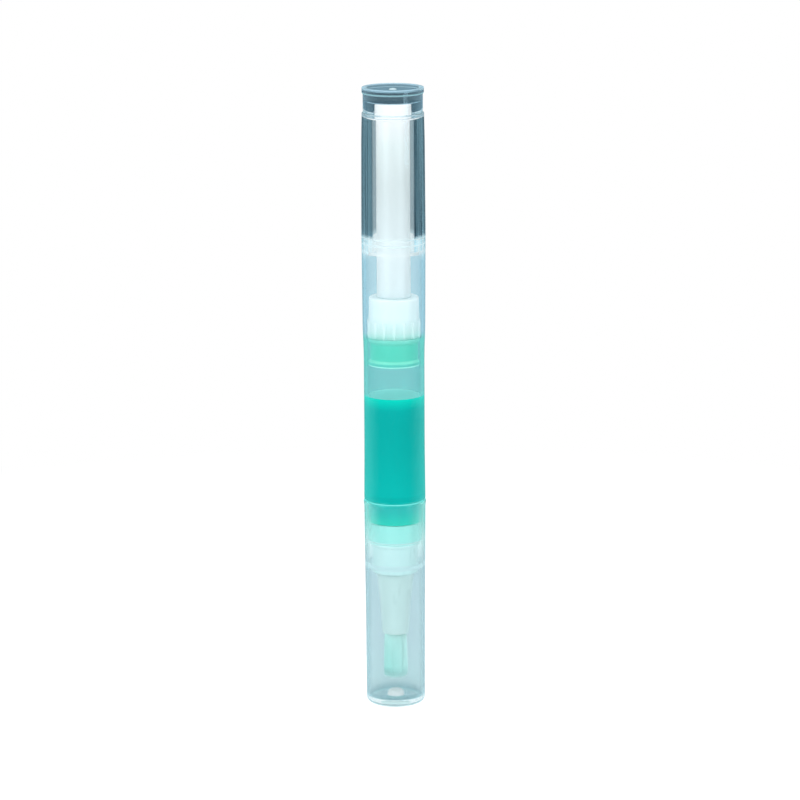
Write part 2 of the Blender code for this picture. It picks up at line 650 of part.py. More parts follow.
def strands_mesh():
    """Straight strands, spread evenly over the backing by the golden angle, with a domed tip.

    A strand keeps its angle from root to tip, and strands further out at the root stay further
    out all the way down, so no two cross.
    """
    inner, outer = backing_radii()
    low = inner + BACKING_EDGE
    high = outer - BACKING_EDGE
    root_z = backing_z()[0] + STRAND_ROOT
    bm = bmesh.new()
    for index in range(STRANDS):
        share = (index + 0.5) / STRANDS
        angle = index * GOLDEN_ANGLE
        root_radius = math.sqrt(low**2 + (high**2 - low**2) * share)
        tip_radius = math.sqrt(BRUSH_HEART_RADIUS**2 + (BRUSH_TIP_RADIUS**2 - BRUSH_HEART_RADIUS**2) * share)
        rise = BRUSH_DOME * (1 - math.sqrt(1 - share**2))
        ends = (
            (tip_radius, BRUSH_TIP_Z + rise, STRAND_TIP_RADIUS),
            (root_radius, root_z, STRAND_RADIUS),
        )
        rings = []
        for radius, height, size in ends:
            centre = Vector((radius * math.cos(angle), radius * math.sin(angle), height))
            ring = []
            for side in range(STRAND_SIDES):
                turn_by = angle + 2 * math.pi * side / STRAND_SIDES
                ring.append(bm.verts.new(centre + size * Vector((math.cos(turn_by), math.sin(turn_by), 0))))
            rings.append(ring)
        lower, upper = rings
        for side in range(STRAND_SIDES):
            after = (side + 1) % STRAND_SIDES
            bm.faces.new((lower[side], lower[after], upper[after], upper[side]))
        bm.faces.new(list(reversed(lower)))
        bm.faces.new(upper)
    return mesh_from("strands", bm)


def ribs_mesh():
    """Upright ribs round the nut's stem that keep it from turning in the barrel."""
    bm = bmesh.new()
    low = (NUT_STEM_RADIUS - NUT_RIB_LAP, -NUT_RIB_WIDTH / 2, NUT_FOOT_Z)
    reach = BARREL_UPPER_BORE_RADIUS - CLEARANCE
    high = (reach, NUT_RIB_WIDTH / 2, NUT_FOOT_Z + NUT_STEM_LENGTH + NUT_RIB_LAP)
    for rib in range(NUT_RIBS):
        box(bm, low, high, 2 * math.pi * rib / NUT_RIBS)
    return mesh_from("nut_ribs", bm)


def cross_mesh(name, reach, width, low_z, high_z):
    """Two boxes crossed on the axis, for the rod's wings and the sleeve's grooves."""
    bm = bmesh.new()
    box(bm, (-reach, -width / 2, low_z), (reach, width / 2, high_z))
    first = mesh_from(name + "_a", bm)
    bm = bmesh.new()
    box(bm, (-reach, -width / 2, low_z), (reach, width / 2, high_z), math.pi / 2)
    return first, mesh_from(name + "_b", bm)


def build():
    """Make every piece of the pen."""
    clear_scene()
    pen = new_collection("oil_pen")
    tools = new_collection("tools")

    clear = plastic("clear_plastic", (0.62, 0.78, 0.84), 0.06, 0.35)
    frosted = plastic("frosted_plastic", (0.66, 0.83, 0.88), 0.3, 0.45)
    white = plastic("white_plastic", (0.9, 0.95, 0.95), 0.4)
    pale = plastic("pale_plastic", (0.76, 0.9, 0.89), 0.4)
    mint = plastic("mint_plastic", (0.32, 0.85, 0.74), 0.35)
    oil = plastic("oil", (0.0, 0.6, 0.55), 0.05, 0.8)
    hair = plastic("brush_hair", (0.6, 0.86, 0.83), 0.5)

    def turned(name, outline, finish, sides=ROUND_SIDES):
        return turn(new_object(name, outline_mesh(name, outline), pen, finish), sides)

    turned("cap", cap_outline(), frosted)
    turned("barrel", barrel_outline(), frosted)
    turned("knob_tube", knob_outline(), clear)
    turned("end_plug", plug_outline(), clear)
    turned("piston", piston_outline(), mint)
    turned("brush_collar", collar_outline(), pale)
    turned("brush_ferrule", ferrule_outline(), pale)
    turned("feed_tube", tube_outline(), white, FINE_SIDES)
    turned("oil_fill", oil_outline(), oil)

    sleeve = turned("drive_sleeve", sleeve_outline(), white)
    groove_reach = KEY_REACH + CLEARANCE
    groove_width = KEY_WIDTH + 2 * CLEARANCE
    groove_top = SLEEVE_ROOF_Z - CLEARANCE
    for mesh in cross_mesh("groove", groove_reach, groove_width, SLEEVE_FOOT_Z - OVERRUN, groove_top):
        boolean(sleeve, new_tool(mesh.name, mesh, tools), "DIFFERENCE")

    nut = turned("guide_nut", nut_outline(), white)
    boolean(nut, new_tool("nut_ribs", ribs_mesh(), tools), "UNION")
    thread_foot = NUT_FOOT_Z - OVERRUN
    thread_cut = screw_mesh("nut_thread", thread_foot, NUT_TOP_Z + OVERRUN, CLEARANCE, NUT_CREST_STEPS)
    boolean(nut, new_tool("nut_thread", thread_cut, tools), "DIFFERENCE")

    thread = screw_mesh("screw_rod", NUT_FOOT_Z, KEY_FOOT_Z + OVERRUN, 0, ROD_CREST_STEPS)
    rod = new_object("screw_rod", thread, pen, white)
    button = turn(new_tool("button", outline_mesh("button", button_outline()), tools), FINE_SIDES)
    boolean(rod, button, "UNION")
    core_outline = [(0, ROD_TOP_Z), (KEY_CORE_RADIUS, ROD_TOP_Z), (KEY_CORE_RADIUS, KEY_FOOT_Z), (0, KEY_FOOT_Z)]
    core = turn(new_tool("key_core", outline_mesh("key_core", core_outline), tools), ROUND_SIDES // 2)
    boolean(rod, core, "UNION")
    for mesh in cross_mesh("wing", KEY_REACH, KEY_WIDTH, KEY_FOOT_Z + KEY_INSET, ROD_TOP_Z - KEY_INSET):
        boolean(rod, new_tool(mesh.name, mesh, tools), "UNION")

    brush = turned("brush_bristles", backing_outline(), hair)
    boolean(brush, new_tool("strands", strands_mesh(), tools), "UNION")


build()
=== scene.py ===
"""A twist-up oil pen with a brush tip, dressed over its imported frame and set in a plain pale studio.

Lengths in the piece classes are millimetres, and meshes are written in metres. Heights are above the
cap's foot, and every turned piece stands on the Z axis.
"""

import logging
import math
from dataclasses import dataclass
from enum import IntEnum

import bpy
import numpy as np
from mathutils import Matrix, Vector


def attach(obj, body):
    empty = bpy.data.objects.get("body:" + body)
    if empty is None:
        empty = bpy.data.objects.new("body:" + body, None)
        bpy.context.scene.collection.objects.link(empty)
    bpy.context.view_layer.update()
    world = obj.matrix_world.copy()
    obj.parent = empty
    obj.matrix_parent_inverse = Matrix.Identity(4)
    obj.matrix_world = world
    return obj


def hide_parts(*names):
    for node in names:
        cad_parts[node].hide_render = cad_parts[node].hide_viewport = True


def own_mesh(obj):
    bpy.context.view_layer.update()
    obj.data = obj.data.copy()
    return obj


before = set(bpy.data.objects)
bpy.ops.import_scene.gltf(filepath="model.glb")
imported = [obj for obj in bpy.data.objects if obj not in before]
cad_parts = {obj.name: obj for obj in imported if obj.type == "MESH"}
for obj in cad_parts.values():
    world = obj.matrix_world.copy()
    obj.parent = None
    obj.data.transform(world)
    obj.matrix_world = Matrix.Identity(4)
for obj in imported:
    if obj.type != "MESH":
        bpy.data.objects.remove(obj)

LOG = logging.getLogger("oil_pen")
MM = 0.001
TURN = 2 * math.pi
Array = np.ndarray
Socket = bpy.types.NodeSocket
Material = bpy.types.Material
Colour = tuple[float, float, float]
Stops = tuple[tuple[float, Colour], ...]
Tint = Colour | Stops
CLEAR = (1.0, 1.0, 1.0)
# The rays by which a thing is seen, straight, mirrored or through a clear wall
SEEN = ("Camera", "Glossy", "Transmission")


class Face(IntEnum):
    """The kinds of face on a clear piece, in the order of its finishes."""

    OUTSIDE = 0
    INSIDE = 1
    EDGE = 2
    JOIN = 3
    SPOT = 4


OUT, IN, EDGE, JOIN, SPOT = Face


# Shapes


@dataclass
class Skin:
    """A closed surface: its points in metres, its faces, and the finish that each face takes."""

    points: Array
    faces: list[Array]
    zones: list[Array]

    def __add__(self, other: "Skin") -> "Skin":
        """The two surfaces as one."""
        moved = [block + len(self.points) for block in other.faces]
        return Skin(np.vstack((self.points, other.points)), self.faces + moved, self.zones + other.zones)


def soften(corners: Array, closed: bool, steps: int) -> Array:
    """Round the corners of an outline.

    Each corner becomes a parabola that leaves one edge and meets the next at a set distance from the
    corner, or less where an edge is short. One more point on either edge, just beyond the parabola,
    keeps the faces beside it flat.

    Args:
        corners: Rows of radius, height, the set distance, and the zone of the edge that follows.
        closed: False for an outline whose two ends lie on the axis.
        steps: Points on each parabola.

    Returns:
        Rows of radius, height and zone.
    """
    spot, reach = corners[:, :2], corners[:, 2]
    edges = [np.roll(spot, shift, 0) - spot for shift in (1, -1)]
    lengths = [np.linalg.norm(edge, axis=1) for edge in edges]
    most = 0.42
    reach = np.minimum(reach, most * np.minimum(*lengths))
    if not closed:
        reach = np.where((np.arange(len(spot)) % (len(spot) - 1)) == 0, 0.0, reach)
    back, ahead = [edge / length[:, None] * reach[:, None] for edge, length in zip(edges, lengths)]
    along = np.linspace(0, 1, steps)[None, :, None]
    curve = spot[:, None] + back[:, None] * (1 - along) ** 2 + ahead[:, None] * along**2
    beyond = 1.18
    rows = np.concatenate(((spot + back * beyond)[:, None], curve, (spot + ahead * beyond)[:, None]), 1)
    zone = np.repeat(corners[:, 3], steps + 2)
    rows = rows.reshape(-1, 2)
    least = 1e-4
    keep = np.linalg.norm(rows - np.roll(rows, 1, 0), axis=1) > least
    if not closed:
        keep[0] = True
    return np.column_stack((rows[keep], zone[keep]))


def filled(outline: Array, closed: bool, step: float) -> Array:
    """Add points along an outline's edges wherever two are further apart than a step.

    Args:
        outline: Rows of radius, height and zone.
        closed: False for an outline whose two ends lie on the axis.
        step: The longest edge that is left, in millimetres.

    Returns:
        The outline with its long edges split evenly, each new point in its edge's zone.
    """
    ahead = np.vstack((outline[1:], outline[:1] if closed else outline[-1:]))
    gaps = np.linalg.norm(ahead[:, :2] - outline[:, :2], axis=1)
    counts = np.maximum(1, np.ceil(gaps / step)).astype(int)
    edges = zip(outline[:, :2], ahead[:, :2], counts)
    spots = [np.linspace(here, there, count, endpoint=False) for here, there, count in edges]
    return np.column_stack((np.vstack(spots), np.repeat(outline[:, 2], counts)))


def lathe(rows: list[tuple], sides: int = 128, step: float = 0.0, steps: int = 5, shape=None) -> Skin:
    """Turn an outline with softened corners about the Z axis.

    An outline that starts at radius zero runs from the axis to the axis, where it shrinks to a point at
    either end, and any other is closed.

    Args:
        rows: Radius, height and softness of each corner and, where a piece has more than one finish,
            the zone of the edge that follows. A row with pairs stands for two corners, such as the
            ends of an upright wall.
        sides: Faces round the axis.
        step: The longest edge that is left in the outline, or zero for any length.
        steps: Points on each softened corner.
        shape: Takes radius, height and angle as arrays and returns the radius.

    Returns:
        The turned surface, with its faces outwards.
    """
    corners = np.vstack([np.column_stack(np.broadcast_arrays(*row, 0)[:4]) for row in rows])
    closed = bool(corners[0, 0] > 0)
    outline = soften(corners, closed, steps)
    if step:
        outline = filled(outline, closed, step)
    across, up, zone = outline.T
    angle = TURN * np.arange(sides) / sides
    radius, height = [np.repeat(column[:, None], sides, 1) for column in (across, up)]
    if shape:
        radius = shape(radius, height, np.broadcast_to(angle, radius.shape))
    grid = np.stack((radius * np.cos(angle), radius * np.sin(angle), height), -1) * MM
    area = np.sum(across * np.roll(up, -1) - np.roll(across, -1) * up)
    zone = zone.astype(int)
    if closed:
        points = grid.reshape(-1, 3)
        index = np.arange(len(points)).reshape(-1, sides)
        index = np.vstack((index, index[:1]))
    else:
        points = np.vstack((grid[0, :1], grid[1:-1].reshape(-1, 3), grid[-1, :1]))
        index = np.arange(1, len(points) - 1).reshape(-1, sides)
    beside = np.roll(index, -1, 1)
    blocks = [np.stack((index[:-1], beside[:-1], beside[1:], index[1:]), -1).reshape(-1, 4)]
    zones = [np.repeat(zone if closed else zone[1:-2], sides)]
    if not closed:
        start, end = np.full(sides, 0), np.full(sides, len(points) - 1)
        caps = (start, beside[0], index[0]), (index[-1], beside[-1], end)
        blocks += [np.stack(cap, -1) for cap in caps]
        zones += [np.full(sides, zone[0]), np.full(sides, zone[-2])]
    if area < 0:
        blocks = [block[:, ::-1] for block in blocks]
    return Skin(points, blocks, zones)


def ring(radius: float, bore: float, top: float, foot: float, soft: float, sides: int) -> Skin:
    """A plain ring with softened corners."""
    return lathe([(radius, (top, foot), soft), (bore, (foot, top), soft)], sides, steps=3)


def added(name: str, data: bpy.types.ID) -> bpy.types.Object:
    """A new object in the scene, with its data."""
    thing = bpy.data.objects.new(name, data)
    bpy.context.scene.collection.objects.link(thing)
    return thing


def place(name: str, skin: Skin, finishes: list, body: str, slot: str, *nodes: str) -> bpy.types.Object:
    """Make a smooth piece and hang it on its body.

    Args:
        name: The piece's name.
        skin: Its surface.
        finishes: Materials, in the order of the surface's zones.
        body: The body that it moves with.
        slot: The record's material slot; not used.
        nodes: The frame's nodes that it stands for.

    Returns:
        The piece.
    """
    mesh = bpy.data.meshes.new(name)
    mesh.from_pydata(skin.points, [], [face for block in skin.faces for face in block.tolist()])
    mesh.polygons.foreach_set("material_index", np.concatenate(skin.zones))
    mesh.validate()
    mesh.shade_smooth()
    for finish in finishes:
        mesh.materials.append(finish)
    thing = added(name, mesh)
    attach(thing, body)
    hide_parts(*nodes)
    LOG.info("%s: %d points", name, len(skin.points))
    return thing


# Finishes


class Graph:
    """The nodes of a material, or of the world, as they are put together."""

    def __init__(self, name: str, home: str = "materials", output: str = "OutputMaterial") -> None:
        """Start a material or a world with nothing but its output."""
        self.owner = getattr(bpy.data, home).new(name)
        self.owner.use_nodes = True
        self.tree = self.owner.node_tree
        self.tree.nodes.clear()
        self.output = self.tree.nodes.new("ShaderNode" + output)

    def add(self, kind: str, inputs: dict | None = None, out: str | int = 0, **settings) -> Socket:
        """Add a node.

        Args:
            kind: The node's type, without its "ShaderNode".
            inputs: Values or other nodes' outputs, by input name or number.
            out: Name or number of the output that is wanted.
            settings: The node's own settings.

        Returns:
            The output.
        """
        node = self.tree.nodes.new("ShaderNode" + kind)
        for name, value in settings.items():
            setattr(node, name, value)
        for name, value in (inputs or {}).items():
            socket = node.inputs[name]
            if isinstance(value, Socket):
                self.tree.links.new(value, socket)
            elif socket.type == "RGBA":
                socket.default_value = (*value, 1.0)
            else:
                socket.default_value = value
        return node.outputs[out]

    def place(self) -> Socket:
        """Where a point is on the pen, in metres."""
        return self.add("TexCoord", out="Object")

    def noise(self, scale: Colour, detail: float = 2.0) -> Socket:
        """Noise from 0 to 1 whose grain has its own scale along X, Y and Z."""
        spot = self.add("Mapping", {"Vector": self.place(), "Scale": scale})
        return self.add("TexNoise", {"Vector": spot, "Scale": 1.0, "Detail": detail})

    def between(self, value, low: float, high: float, start: float = 0.0, end: float = 1.0) -> Socket:
        """A value carried from one range to another, and held at its ends."""
        inputs = {"Value": value, "From Min": low, "From Max": high, "To Min": start, "To Max": end}
        return self.add("MapRange", inputs)

    def blend(self, share, first, second) -> Socket:
        """Two colours mixed by a share."""
        return self.add("Mix", {0: share, 6: first, 7: second}, out=2, data_type="RGBA")

    def tint(self, value: Tint) -> Colour | Socket:
        """A plain colour as it is, or one that runs through stops of height in millimetres."""
        if not isinstance(value[0], tuple):
            return value
        low, high = value[0][0], value[-1][0]
        height = self.add("SeparateXYZ", {"Vector": self.place()}, out="Z")
        ramp = self.add("ValToRGB", {"Fac": self.between(height, low * MM, high * MM)})
        marks = ramp.node.color_ramp.elements
        marks[0].color = (*value[0][1], 1.0)
        marks[-1].color = (*value[-1][1], 1.0)
        for spot, colour in value[1:-1]:
            marks.new((spot - low) / (high - low)).color = (*colour, 1.0)
        return ramp

    def bump(self, scale: Colour, depth: float) -> Socket:
        """A normal roughened by noise, with its depth in metres."""
        return self.add("Bump", {"Height": self.noise(scale), "Distance": depth})

    def rays(self, *kinds: str) -> Socket:
        """One for light that comes by any of these kinds of ray, and zero for other light."""
        rays = [self.add("LightPath", out=f"Is {kind} Ray") for kind in kinds]
        share = rays[0]
        for ray in rays[1:]:
            share = self.add("Math", {0: share, 1: ray}, operation="MAXIMUM")
        return share

    def mixed(self, share, first, second) -> Socket:
        """Two shaders mixed by a share."""
        return self.add("MixShader", {0: share, 1: first, 2: second})

    def finish(self, shader: Socket) -> Material | bpy.types.World:
        """The material or the world, with a shader at its output."""
        self.tree.links.new(shader, self.output.inputs["Surface"])
        return self.owner


@dataclass(frozen=True)
class ClearPlastic:
    """A clear or milky moulded wall.

    Light keeps its colour on the way in, so what lies inside reads clearly, and takes a set tint on
    the way out, deeper where it leaves at a slant. That tint is partly the wall's own colour and partly
    painted shade and painted light, set by height. Light that the bore throws back inside the wall
    takes painted reflection colours, dark and light upright streaking for surroundings mirrored in the
    wall. Edge faces scatter a painted highlight colour. Any of these colours may run through stops of
    height.
    """

    name: str
    way_out: Tint
    slant: Tint
    dark: Tint
    light: Tint
    shine: Tint
    # Colour of the edge faces by height: painted highlight lines, and painted dull lines where it is dark
    painted_glint: Tint = (0.80, 0.95, 0.98)
    glint_share: float = 0.65
    mark: Colour = (0.62, 0.78, 0.82)
    film: Tint = CLEAR
    haze: Tint = (0.6, 0.8, 0.88)
    haze_share: float = 0.02
    rim_haze: float = 0.02
    roughness: float = 0.0
    ripple: float = 0.00002
    index: float = 1.49
    ripple_scale: Colour = (260.0, 260.0, 40.0)
    bore_scale: Colour = (320.0, 320.0, 30.0)
    streak_scale: Colour = (900.0, 900.0, 14.0)
    straight_on: Colour = (0.93, 0.96, 0.97)

    def outside(self) -> Material:
        """The outer surface, with a fine ripple."""
        graph = Graph(self.name + "_outside")
        normal = graph.bump(self.ripple_scale, self.ripple)
        facing = graph.add("LayerWeight", {"Blend": 0.5}, out="Facing")
        slanted = graph.between(facing, 0.05, 0.28)
        leaving = graph.add("NewGeometry", out="Backfacing")
        # The tint on the way out: the wall's colour, with painted shade and painted light set by height
        own = graph.blend(slanted, graph.tint(self.way_out), graph.tint(self.slant))
        tint = graph.blend(leaving, CLEAR, own)
        haze = graph.between(facing, 0.15, 0.65, self.haze_share, self.rim_haze)
        return self.wall(graph, tint, graph.tint(self.shine), normal, haze)

    def inside(self) -> Material:
        """The bore, which throws back painted reflections inside the wall, in dark and light streaking."""
        graph = Graph(self.name + "_inside")
        normal = graph.bump(self.bore_scale, self.ripple)
        # Painted reflection: noise mixes the dark and light colours into upright streaking, for
        # surroundings mirrored in the wall
        grain = graph.between(graph.noise(self.streak_scale, 3.0), 0.42, 0.58)
        painted_reflection = graph.blend(grain, graph.tint(self.dark), graph.tint(self.light))
        within = graph.add("NewGeometry", out="Backfacing")
        gloss = graph.blend(within, graph.tint(self.shine), painted_reflection)
        return self.wall(graph, graph.tint(self.film), gloss, normal, self.haze_share)

    def wall(self, graph: Graph, tint, gloss, normal, haze) -> Material:
        """One surface of the wall.

        Args:
            graph: The material's nodes.
            tint: Colour of the light that goes through.
            gloss: Colour of the light that is thrown back.
            normal: The surface's normal.
            haze: Share of the light that the wall scatters.

        Returns:
            The material.
        """
        clear = {"Color": tint, "Roughness": self.roughness, "IOR": self.index, "Normal": normal}
        through = graph.add("BsdfRefraction", clear)
        polish = {"Color": gloss, "Roughness": max(self.roughness, 0.02), "Normal": normal}
        back = graph.add("BsdfGlossy", polish)
        body = graph.mixed(haze, through, self.scatter(graph, graph.tint(self.haze)))
        share = graph.add("Fresnel", {"IOR": self.index, "Normal": normal})
        return self.lit(graph, graph.mixed(share, body, back))

    def scatter(self, graph: Graph, colour) -> Socket:
        """Light scattered evenly to both sides."""
        milk = graph.add("BsdfDiffuse", {"Color": colour})
        glow = graph.add("BsdfTranslucent", {"Color": colour})
        return graph.mixed(0.5, milk, glow)

    def lit(self, graph: Graph, surface) -> Material:
        """The material, which lets lamplight and scattered light straight on to what lies inside."""
        straight = graph.add("BsdfTransparent", {"Color": self.straight_on})
        return graph.finish(graph.mixed(graph.rays("Shadow", "Diffuse"), surface, straight))

    def edge(self) -> Material:
        """A corner or parting face that scatters lamplight in a set colour: a painted highlight line."""
        graph = Graph(self.name + "_edge")
        through = graph.add("BsdfRefraction", {"Roughness": 0.1, "IOR": 1.1})
        # Painted highlight: lamplight scattered in the set colour, bright or dull by height
        bright = self.scatter(graph, graph.tint(self.painted_glint))
        return self.lit(graph, graph.mixed(self.glint_share, through, bright))

    def join(self) -> Material:
        """A face held against its neighbour, where light goes straight on."""
        graph = Graph(self.name + "_join")
        return graph.finish(graph.add("BsdfTransparent"))

    def spot(self) -> Material:
        """A rough mark left by the gate, which scatters light."""
        graph = Graph(self.name + "_spot")
        return self.lit(graph, self.scatter(graph, self.mark))

    def every(self) -> list[Material]:
        """The finishes of the first four kinds of face, in order."""
        return [self.outside(), self.inside(), self.edge(), self.join()]


def dimmed(value: Tint, share: Colour) -> Tint:
    """A colour, or each colour of some stops, of which a share of red, green and blue is kept."""
    if isinstance(value[0], tuple):
        return tuple((spot, dimmed(colour, share)) for spot, colour in value)
    return tuple(part * kept for part, kept in zip(value, share))


@dataclass(frozen=True)
class MouldedPlastic:
    """A pale moulded plastic that is nearly opaque."""

    name: str
    colour: Tint
    roughness: float = 0.3
    glow: float = 0.3
    shade: Colour = (0.975, 0.975, 0.975)
    grain: float = 0.000004
    spread: float = 0.003
    # Emission strength: a painted glow that stands in for light scattered within
    emitted_glow: float = 0.0
    mottle_scale: Colour = (420.0, 420.0, 90.0)
    grain_scale: Colour = (3800.0, 3800.0, 3800.0)

    def material(self) -> Material:
        """Mottled colour, a fine grain, light spread within, and a painted glow that evens out the
        shading.
        """
        graph = Graph(self.name)
        mottle = graph.noise(self.mottle_scale, 3.0)
        shade = graph.tint(dimmed(self.colour, self.shade))
        colour = graph.blend(graph.between(mottle, 0.3, 0.7), shade, graph.tint(self.colour))
        normal = graph.bump(self.grain_scale, self.grain)
        rough = graph.between(mottle, 0.3, 0.7, self.roughness * 0.85, self.roughness * 1.15)
        inputs = {"Base Color": colour, "Roughness": rough, "Normal": normal, "IOR": 1.45}
        inputs |= {"Subsurface Weight": self.glow, "Subsurface Scale": self.spread}
        inputs |= {"Subsurface Radius": CLEAR, "Emission Color": colour, "Emission Strength": self.emitted_glow}
        return graph.finish(graph.add("BsdfPrincipled", inputs))


@dataclass(frozen=True)
class TintedOil:
    """Clear tinted oil, with a painted glow that stands in for light through it from all round."""

    name: str
    colour: Stops
    glow: float = 0.3
    # Emission strength: a painted glow that flattens the oil's shading
    emitted_glow: float = 0.2
    thin: Colour = (0.93, 0.93, 0.93)
    drift_scale: Colour = (120.0, 120.0, 60.0)
    surface: Colour = (0.38, 0.78, 0.76)
    mirror: Colour = (0.94, 1.0, 1.0)
    mirror_share: float = 0.3

    def material(self) -> Material:
        """Colour by height with a slow drift, a wet surface, light let through, and a painted glow within.
        """
        graph = Graph(self.name)
        drift = graph.between(graph.noise(self.drift_scale, 1.0), 0.3, 0.7)
        colour = graph.blend(drift, graph.tint(dimmed(self.colour, self.thin)), graph.tint(self.colour))
        inputs = {"Base Color": colour, "Roughness": 0.05, "IOR": 1.05}
        inputs |= {"Emission Color": colour, "Emission Strength": self.emitted_glow}
        wet = graph.add("BsdfPrincipled", inputs)
        through = graph.add("BsdfTranslucent", {"Color": colour})
        return graph.finish(graph.mixed(self.glow, wet, through))

    def level(self) -> Material:
        """The oil's level, which mirrors the bore beyond it softly."""
        graph = Graph(self.name + "_level")
        mirror = graph.add("BsdfGlossy", {"Color": self.mirror, "Roughness": 0.3})
        body = graph.add("BsdfDiffuse", {"Color": self.surface})
        return graph.finish(graph.mixed(self.mirror_share, body, mirror))


# Pieces


@dataclass
class Cap:
    """The pull-off cap: closed foot, thick lower wall, thinner mouth over the barrel's neck."""

    length: float = 55.5
    foot_radius: float = 7.75
    foot_round: float = 0.85
    waist_radius: float = 7.86
    waist_height: float = 23.3
    rim_radius: float = 8.08
    bead: float = 0.14
    bore: float = 6.9
    mouth: float = 7.4
    ledge: float = 38.3
    floor: float = 1.5
    ring_bore: float = 5.9
    gate_radius: float = 2.0
    gate_depth: float = 0.4
    pip_radius: float = 2.3
    pip_height: float = 1.5
    # Painted light and shade in the cap's colours: the tints on the way out and the film are darker at the
    # foot and floor, painted shade, and turn mint towards the rim, painted light of the oil behind. The
    # dark and light colours are painted reflections, the haze turns mint near the rim, and the edge colour
    # paints highlight lines at the foot, the ledge and the rim.
    finish = ClearPlastic(
        "frosted_plastic",
        way_out=(
            (0.0, (0.36, 0.52, 0.54)), (1.6, (0.33, 0.46, 0.49)), (5.0, (0.38, 0.56, 0.59)),
            (16.0, (0.40, 0.56, 0.61)), (36.0, (0.44, 0.62, 0.68)), (44.0, (0.80, 1.0, 1.0)),
            (51.0, (0.60, 0.95, 0.92)),
        ),
        slant=(
            (0.0, (0.38, 0.52, 0.54)), (1.6, (0.40, 0.51, 0.54)), (5.0, (0.49, 0.66, 0.68)),
            (16.0, (0.52, 0.69, 0.73)), (36.0, (0.52, 0.72, 0.77)), (44.0, (0.80, 1.0, 1.0)),
            (51.0, (0.60, 0.95, 0.92)),
        ),
        dark=((38.0, (0.80, 0.93, 0.96)), (45.0, (0.85, 1.0, 1.0)), (51.0, (0.40, 0.95, 0.90))),
        light=((38.0, (0.95, 1.0, 1.0)), (45.0, (0.95, 1.0, 1.0)), (51.0, (0.50, 1.0, 0.95))),
        shine=((38.0, (0.45, 0.62, 0.68)), (51.0, (0.20, 0.60, 0.60))),
        painted_glint=(
            (0.0, (0.70, 0.88, 0.88)), (38.0, (0.62, 0.80, 0.83)), (46.0, (0.60, 0.97, 0.94)),
            (54.0, (0.26, 0.98, 0.92)),
        ),
        glint_share=0.85,
        mark=(0.70, 0.75, 0.75),
        film=((1.55, (0.52, 0.68, 0.71)), (3.4, CLEAR)),
        haze=((40.0, (0.58, 0.80, 0.86)), (45.0, (0.70, 1.0, 0.99)), (51.0, (0.60, 1.0, 0.96))),
        rim_haze=0.36,
        roughness=0.19,
    )

    def skin(self) -> Skin:
        """The wall, from the floor's pip up the inside, over the beaded rim and down to the gate."""
        proud = self.rim_radius + self.bead
        rows = [
            ((0, self.pip_radius - 0.4), self.floor + self.pip_height, (0, 0.3), SPOT),
            ((self.pip_radius, self.bore), self.floor, (0.2, 1.1), IN),
            (self.bore, self.ledge - 0.8, 0.2, EDGE),
            (self.mouth, self.ledge, 0.2, EDGE),
            (self.mouth, self.ledge + 0.4, 0.02, IN),
            ((self.mouth, self.rim_radius), self.length, 0.12, EDGE),
            (self.rim_radius + 0.04, self.length - 0.22, 0.02, OUT),
            (proud, (self.length - 0.5, self.length - 0.85), (0.1, 0.16), OUT),
            (self.rim_radius, self.length - 1.6, 0.3, OUT),
            (self.waist_radius, self.waist_height, 3.0, OUT),
            (self.foot_radius, self.foot_round, 0.75, OUT),
            (self.foot_radius - self.foot_round, 0, 0.75, EDGE),
            (self.ring_bore, 0, 0.1, OUT),
            (self.gate_radius + 0.5, 0, 0.15, EDGE),
            ((self.gate_radius, 0), self.gate_depth, (0.15, 0), EDGE),
        ]
        return lathe(rows, step=3.0, steps=7)

    def build(self) -> None:
        """Make the cap."""
        finishes = [*self.finish.every(), self.finish.spot()]
        place("cap_shell", self.skin(), finishes, "cap", "frosted_plastic", "cap")


